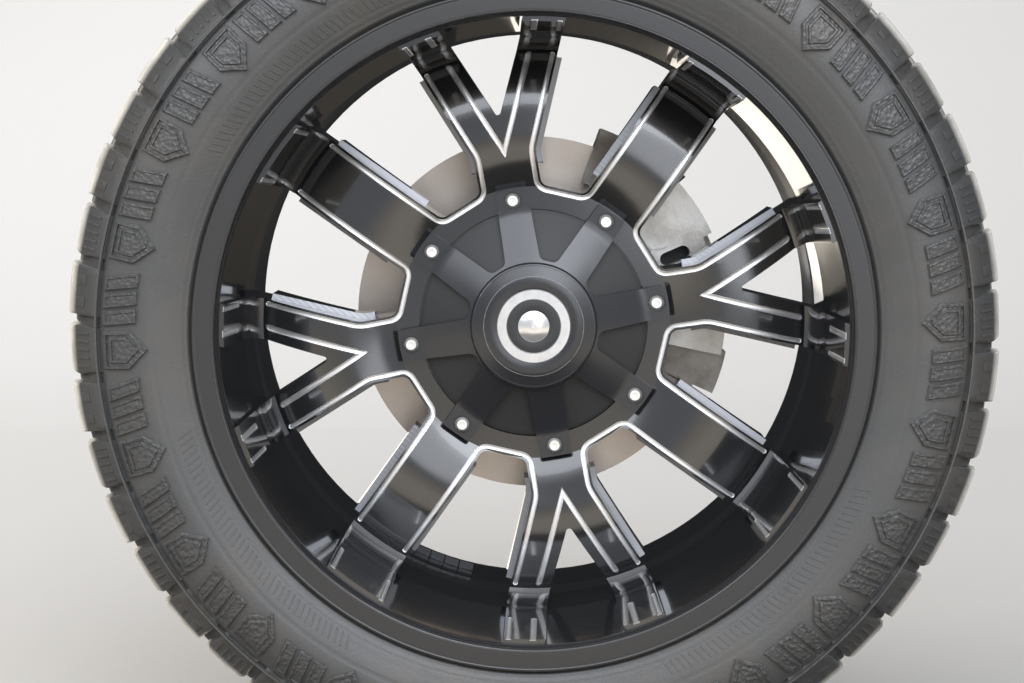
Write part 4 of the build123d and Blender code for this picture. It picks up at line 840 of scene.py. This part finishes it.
class WHEELEND_OT_accents(Operator):
    """Milled grooves round the windows, milled Vs and their short ends next to the lip"""

    bl_idname = "wheelend.accents"
    bl_label = "Milled accents"

    def execute(self, context):
        sizes, shades = context.scene.wheel_sizes, context.scene.wheel_finishes
        width, place = sizes.groove_width, sizes.groove_place
        window = dense_ends(window_path(sizes, place, sizes.groove_end), 90, width)
        window_groove = face_strip(window, hollow(width, sizes.groove_depth), tapered(window, width))
        branch_at = np.array([sizes.fork_along, sizes.neck_half]) - place * towards(sizes.fork_angle + 90)
        lip_ends = (
            (towards(SPOKE_STEP - 90, sizes.straight_half - place), SPOKE_STEP, width),
            (branch_at, sizes.fork_angle, width),
            (np.array([sizes.vee_along, 0]), sizes.vee_angle, sizes.vee_width),
        )
        grids = [window_groove, self.vee(sizes), *(self.lip_end(sizes, *line) for line in lip_ends)]
        patches = spread([(both_sides(grid), False, True) for grid in grids], PAIR_ANGLES)
        build("milled_accents", patches, shared(milled_aluminium, shades))
        return {"FINISHED"}

    def vee(self, sizes):
        """One arm of the V: at each offset q across it, a straight run from the spoke's middle line, at
        vee_along - q / sin(angle), to the grooves' end radius, where it ends in a half circle of the width.
        The outer side starts later, for a blunt point."""
        half, turn = sizes.vee_width / 2, sizes.vee_angle
        share = np.linspace(0, 1, 40)[:, None]
        grid = []
        for offset, depth in hollow(sizes.vee_width, sizes.groove_depth):
            blunt = 0.6 if offset > 0 else 1.0
            start = np.array([sizes.vee_along - offset / np.sin(np.radians(turn)) * blunt, 0])
            edge_at = np.array([sizes.vee_along, 0]) + towards(turn + 90, offset)
            run = at_radius(edge_at, turn, sizes.groove_end) - start
            bow = half - np.sqrt(max(half**2 - offset**2, 0))
            line = start + run * share * (1 - bow / np.linalg.norm(run))
            grid.append(in_front(line, face_depth(np.linalg.norm(line, axis=-1)) + depth))
        return capped(np.stack(grid, 1))

    def lip_end(self, sizes, point, angle, width):
        """A short, shallower groove on the pad next to the lip, where the same line meets the pad, round at
        its inner end."""
        section = hollow(width, sizes.groove_depth * 0.8)
        depth = np.linspace(LIP_GROOVE_START, sizes.lip_groove_end, 30)
        keep = np.sqrt(1 - np.clip(1 - (depth[-1] - depth) / width * 2, 0, 0.995) ** 2)
        middle = at_radius(point, angle, pad_radius(depth))
        turn = np.degrees(np.arctan2(middle[:, 1], middle[:, 0]))[:, None]
        radius = pad_radius(depth)[:, None]
        turns = turn + np.degrees(section[None, :, 0] * keep[:, None] / radius)
        return capped(on_wheel(radius + section[None, :, 1], turns, depth[:, None]))


class WHEELEND_OT_ledges(Operator):
    """Bare milled ledges along the sides of the spokes, inside the windows"""

    bl_idname = "wheelend.ledges"
    bl_label = "Ledges"

    def execute(self, context):
        sizes, shades = context.scene.wheel_sizes, context.scene.wheel_finishes
        half = sizes.ledge_width / 2
        path = spaced(window_path(sizes, -half, LEDGE_END), 260)
        radius = np.linalg.norm(path, axis=1)
        middle = np.argmin(radius)
        inner, outer, back = -half + 0.05 * MM, half - 0.05 * MM, 0.4 * MM
        section = np.array([(inner, -0.1 * MM), (outer, -1.5 * MM), (outer, back), (inner, back)])[None]
        patches = []
        for run, reach in ((path[: middle + 1], radius[: middle + 1]), (path[middle:], radius[middle:])):
            run = run[reach > LEDGE_START]
            points = run[:, None] + sideways(run)[:, None] * section[..., :1]
            patches.append((both_sides(capped(in_front(points, LEDGE_DEPTH + section[..., 1]))), False, True))
        build("window_ledges", spread(patches, PAIR_ANGLES), shared(bare_ledge, shades))
        return {"FINISHED"}


class WHEELEND_OT_lip(Operator):
    """Satin ring with a rolled bead on the face of the wheel's lip"""

    bl_idname = "wheelend.lip"
    bl_label = "Lip ring"

    def execute(self, context):
        ring = np.concatenate([spaced(rounds(LIP_FACE), 90), LIP_BACK])
        grid = on_wheel(ring[None, :, 0], np.arange(360)[:, None], ring[None, :, 1])
        satin = shared(satin_black, context.scene.wheel_finishes)
        build("lip_ring", [(grid, True, True)], satin, sharp=50)
        return {"FINISHED"}


class WHEELEND_OT_medallion(Operator):
    """Black enamel between and round the medallion's plain ring and dome"""

    bl_idname = "wheelend.medallion"
    bl_label = "Medallion"

    def execute(self, context):
        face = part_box("cap_medallion")[1].y - MEDALLION_THICKNESS - LIP_Y
        angles = np.arange(0, 360, 1.5)[:, None]
        patches = []
        for inner, outer in ENAMEL_RINGS:
            radius = np.array([inner, inner, inner + 0.4, outer - 0.4, outer, outer]) * MM
            depth = face + np.array([0.3, -0.1, -0.3, -0.3, -0.1, 0.3]) * MM
            patches.append((on_wheel(radius, angles, depth), True, True))
        enamel = shared(cap_coat, context.scene.wheel_finishes)
        build("medallion_enamel", patches, enamel)
        return {"FINISHED"}


class WHEELEND_OT_finishes(Operator):
    """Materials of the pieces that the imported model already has"""

    bl_idname = "wheelend.finishes"
    bl_label = "Finishes"

    def execute(self, context):
        shades = context.scene.wheel_finishes
        caliper = cast_metal("cast_caliper", "f4f2ee", "c9c3ba", 0.42, 0.55)
        iron = cast_metal("cast_iron_hub", "4b4540", "6b4b38", 0.75)
        bracket = cast_metal("cast_iron_bracket", "cfc8bf", "978b7e", 0.55, 0.4)
        dark_steel = moulded("dipped_steel", "1f2022", 0.5, 3 * MM)
        boot = moulded("moulded_epdm", "191919", 0.6)
        lining = moulded("friction_lining", "4a423a", 0.95, 1.5 * MM)
        finish = {
            "wheel_casting": shared(gloss_black, shades),
            "centre_cap": shared(cap_coat, shades),
            "cap_medallion": plated_steel("chromed_zinc", "f2f2f2", 0.2),
            "cap_screws": plated_steel("zinc_plated_steel", "fbfaf6", 0.35),
            "wheel_studs": plated_steel("phosphated_steel", "6d6d6c", 0.45),
            "lug_nuts": plated_steel("chromed_steel_nut", "c9c9c9", 0.25),
            "valve_stem": boot,
            "balance_weights": moulded("coated_steel_weight", "6a6d70", 0.5),
            "brake_disc": shared(ground_disc, shades),
            "hub": iron,
            "bearing_housing": iron,
            "anchor_plate": dark_steel,
            "dust_shield": dark_steel,
            "caliper_bracket": bracket,
            "caliper_body": caliper,
            "caliper_pistons": plated_steel("ground_piston_steel", "b8b8b8", 0.2),
            "guide_pins": plated_steel("guide_pin_steel", "a9a9a8", 0.3),
            "pin_boots": boot,
            "bracket_bolts": plated_steel("yellow_zinc_bolt", "b0a587", 0.35),
            "bleed_screw": plated_steel("bleed_screw_steel", "b5b0a0", 0.35),
            "outer_pad_backing": dark_steel,
            "inner_pad_backing": dark_steel,
            "outer_pad_lining": lining,
            "inner_pad_lining": lining,
        }
        for node, material in finish.items():
            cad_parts[node].material_slots[0].material = material
        return {"FINISHED"}


# Stage

# The floor and backdrop: half their width, and in their profile the near end, the bend's start and size, and
# the top
HALF_WIDTH, NEAR_END, BEND_START, BEND, BACKDROP_TOP = 12.0, -16.0, 2.0, 2.5, 6.0
# Name, place, aim, size, power and colour
LAMPS = (
    ("front_softbox", (-0.6, -4.8, 3.6), (-0.3, 0, 0.1), (8.0, 3.4), 205, "ecf1fa"),
    ("side_softbox", (-4.2, -0.9, 1.9), (0, -0.15, 0), (1.6, 1.6), 120, "fff4e2"),
    ("rear_softbox", (-1.5, 3.2, 2.6), (0, 0, 0), (3.0, 2.0), 60, "eef2fb"),
)
# The world's light by direction, for reflections and fill. Each light is the product of its ramps, and a ramp
# is (axis of the direction, from, to, level before, level after).
GROUND = (2, -0.11, -0.095, 1.0, 0.0)
SKY_LIGHT = (
    (2, -0.46, -0.4, 0.12, 1.3),
    (2, -0.24, -0.08, 1.0, 0.48),
    (2, 0.25, 0.4, 1.0, 2.3),
    (1, -0.3, 0.3, 1.0, 0.04),
)
RIGHT_LIGHT = (
    (0, 0.02, 0.07, 0.0, 2.2),
    (0, 0.4, 0.5, 1.0, 0.0),
    (2, -0.08, -0.03, 0.0, 1.0),
    (1, -0.6, -0.3, 1.0, 0.0),
)
GROUND_LIGHT = (
    GROUND,
    (0, -0.09, -0.06, 2.2, 0.02),
    (0, -0.24, -0.2, 0.02, 1.0),
    (1, 0.0, 0.5, 0.0, 1.0),
)
SKY_COLOUR, GROUND_COLOUR = "ebeff6", "f3e9da"
# The level that the camera sees past the stage
SEEN_LEVEL = 0.7
# The photograph's view: a 70 mm lens 1.7 m in front of the lip, 0.17 m above the axle and aimed a little down
LENS, SENSOR = 70, 36
CAMERA_PLACE = (-2.99 * MM, LIP_Y - 1.7156, 0.1697)
CAMERA_PITCH, CAMERA_YAW = 0.1013, -0.0093


class WHEELEND_OT_stage(Operator):
    """Pale floor that curves up into a backdrop, soft lights and the camera"""

    bl_idname = "wheelend.stage"
    bl_label = "Stage"

    def execute(self, context):
        scene = context.scene
        scene.view_settings.view_transform = "Standard"
        floor, turn = FLOOR_Z - 1 * MM, np.linspace(0, np.pi / 2, 16)
        curve = np.stack([BEND_START + BEND * np.sin(turn), floor + BEND * (1 - np.cos(turn))], -1)
        self.sheet(scene, "studio_floor", np.array([(NEAR_END, floor), (BEND_START, floor)]))
        self.sheet(scene, "studio_backdrop", np.concatenate([curve, [(BEND_START + BEND, BACKDROP_TOP)]]))
        self.world(scene)
        for lamp in LAMPS:
            self.panel(scene, *lamp)
        self.camera(scene)
        return {"FINISHED"}

    def sheet(self, scene, name, line):
        """A profile (y, z) carried along x, painted like the floor."""
        x = np.array([-HALF_WIDTH, HALF_WIDTH])[:, None]
        grid = np.stack(np.broadcast_arrays(x, line[None, :, 0], line[None, :, 1]), -1)
        mesh = bpy.data.meshes.new(name)
        mesh.from_pydata(grid.reshape(-1, 3).tolist(), [], quads(2, len(line), False, False).tolist())
        mesh.polygons.foreach_set("use_smooth", np.ones(len(mesh.polygons), bool))
        mesh.materials.append(shared(painted_floor, scene.wheel_finishes))
        made = bpy.data.objects.new(name, mesh)
        made.visible_glossy = False
        scene.collection.objects.link(made)

    def world(self, scene):
        """A pale sky in front, a bright patch to its right, and warmer light from the ground behind on the
        left. The camera sees an even backdrop past the stage."""
        world = bpy.data.worlds.new("studio")
        world.use_nodes = True
        scene.world = world
        tree = world.node_tree
        direction = add_node(tree, "TexCoord").outputs["Generated"]
        axes = add_node(tree, "SeparateXYZ", {"Vector": direction}).outputs
        light, levels = 0.0, {}
        for ramps in (SKY_LIGHT, RIGHT_LIGHT, GROUND_LIGHT):
            part = 1.0
            for ramp in ramps:
                sockets = dict(zip(RANGE, (axes[ramp[0]], *ramp[1:])))
                levels[ramp] = add_node(tree, "MapRange", sockets).outputs["Result"]
                sockets = {0: part, 1: levels[ramp]}
                part = add_node(tree, "Math", sockets, operation="MULTIPLY").outputs[0]
            light = add_node(tree, "Math", {0: light, 1: part}, operation="ADD").outputs[0]
        sky, ground = rgba(linear(SKY_COLOUR)), rgba(linear(GROUND_COLOUR))
        sockets = {"Factor": levels[GROUND], "A": sky, "B": ground}
        colour = add_node(tree, "Mix", sockets, data_type="RGBA").outputs["Result"]
        seen = add_node(tree, "LightPath").outputs["Is Camera Ray"]
        sockets = {"Factor": seen, "A": light, "B": SEEN_LEVEL}
        level = add_node(tree, "Mix", sockets, data_type="FLOAT").outputs["Result"]
        set_sockets(tree, tree.nodes["Background"], {"Color": colour, "Strength": level})

    def panel(self, scene, name, place, aim, size, power, shade):
        """A rectangular lamp that the camera doesn't see. Only the front one shows in reflections."""
        light = bpy.data.lights.new(name, "AREA")
        light.shape = "RECTANGLE"
        light.size, light.size_y = size
        light.energy = power
        light.color = linear(shade)
        made = bpy.data.objects.new(name, light)
        made.location = place
        made.rotation_euler = (Vector(aim) - Vector(place)).to_track_quat("-Z", "Y").to_euler()
        made.visible_camera = False
        made.visible_glossy = name == "front_softbox"
        scene.collection.objects.link(made)

    def camera(self, scene):
        """forward = (sin yaw cos pitch, cos yaw cos pitch, -sin pitch)"""
        made = bpy.data.objects.new("camera", bpy.data.cameras.new("camera"))
        made.data.lens, made.data.sensor_width = LENS, SENSOR
        flat = np.cos(CAMERA_PITCH)
        forward = Vector((np.sin(CAMERA_YAW) * flat, np.cos(CAMERA_YAW) * flat, -np.sin(CAMERA_PITCH)))
        made.location = CAMERA_PLACE
        made.rotation_euler = forward.to_track_quat("-Z", "Y").to_euler()
        scene.collection.objects.link(made)
        scene.camera = made


class WHEELEND_PT_panel(Panel):
    bl_idname = "WHEELEND_PT_panel"
    bl_label = "Wheel End"
    bl_space_type = "VIEW_3D"
    bl_region_type = "UI"
    bl_category = "Wheel End"

    def draw(self, context):
        for step in STEPS:
            self.layout.operator(step.bl_idname)
        for group in (context.scene.tyre_sizes, context.scene.wheel_sizes, context.scene.wheel_finishes):
            box = self.layout.box()
            for name in group.__annotations__:
                box.prop(group, name)


STEPS = (
    WHEELEND_OT_stage,
    WHEELEND_OT_finishes,
    WHEELEND_OT_lip,
    WHEELEND_OT_medallion,
    WHEELEND_OT_accents,
    WHEELEND_OT_ledges,
    WHEELEND_OT_tyre,
)
GROUPS = {"tyre_sizes": TyreSizes, "wheel_sizes": WheelSizes, "wheel_finishes": Finishes}


def register():
    for kind in (*GROUPS.values(), *STEPS, WHEELEND_PT_panel):
        bpy.utils.register_class(kind)
    for name, group in GROUPS.items():
        setattr(bpy.types.Scene, name, PointerProperty(type=group))


def unregister():
    for name in GROUPS:
        delattr(bpy.types.Scene, name)
    for kind in (WHEELEND_PT_panel, *reversed(STEPS), *reversed(GROUPS.values())):
        bpy.utils.unregister_class(kind)


def main():
    register()
    for step in STEPS:
        group, name = step.bl_idname.split(".")
        getattr(getattr(bpy.ops, group), name)()


if __name__ == "__main__":
    main()
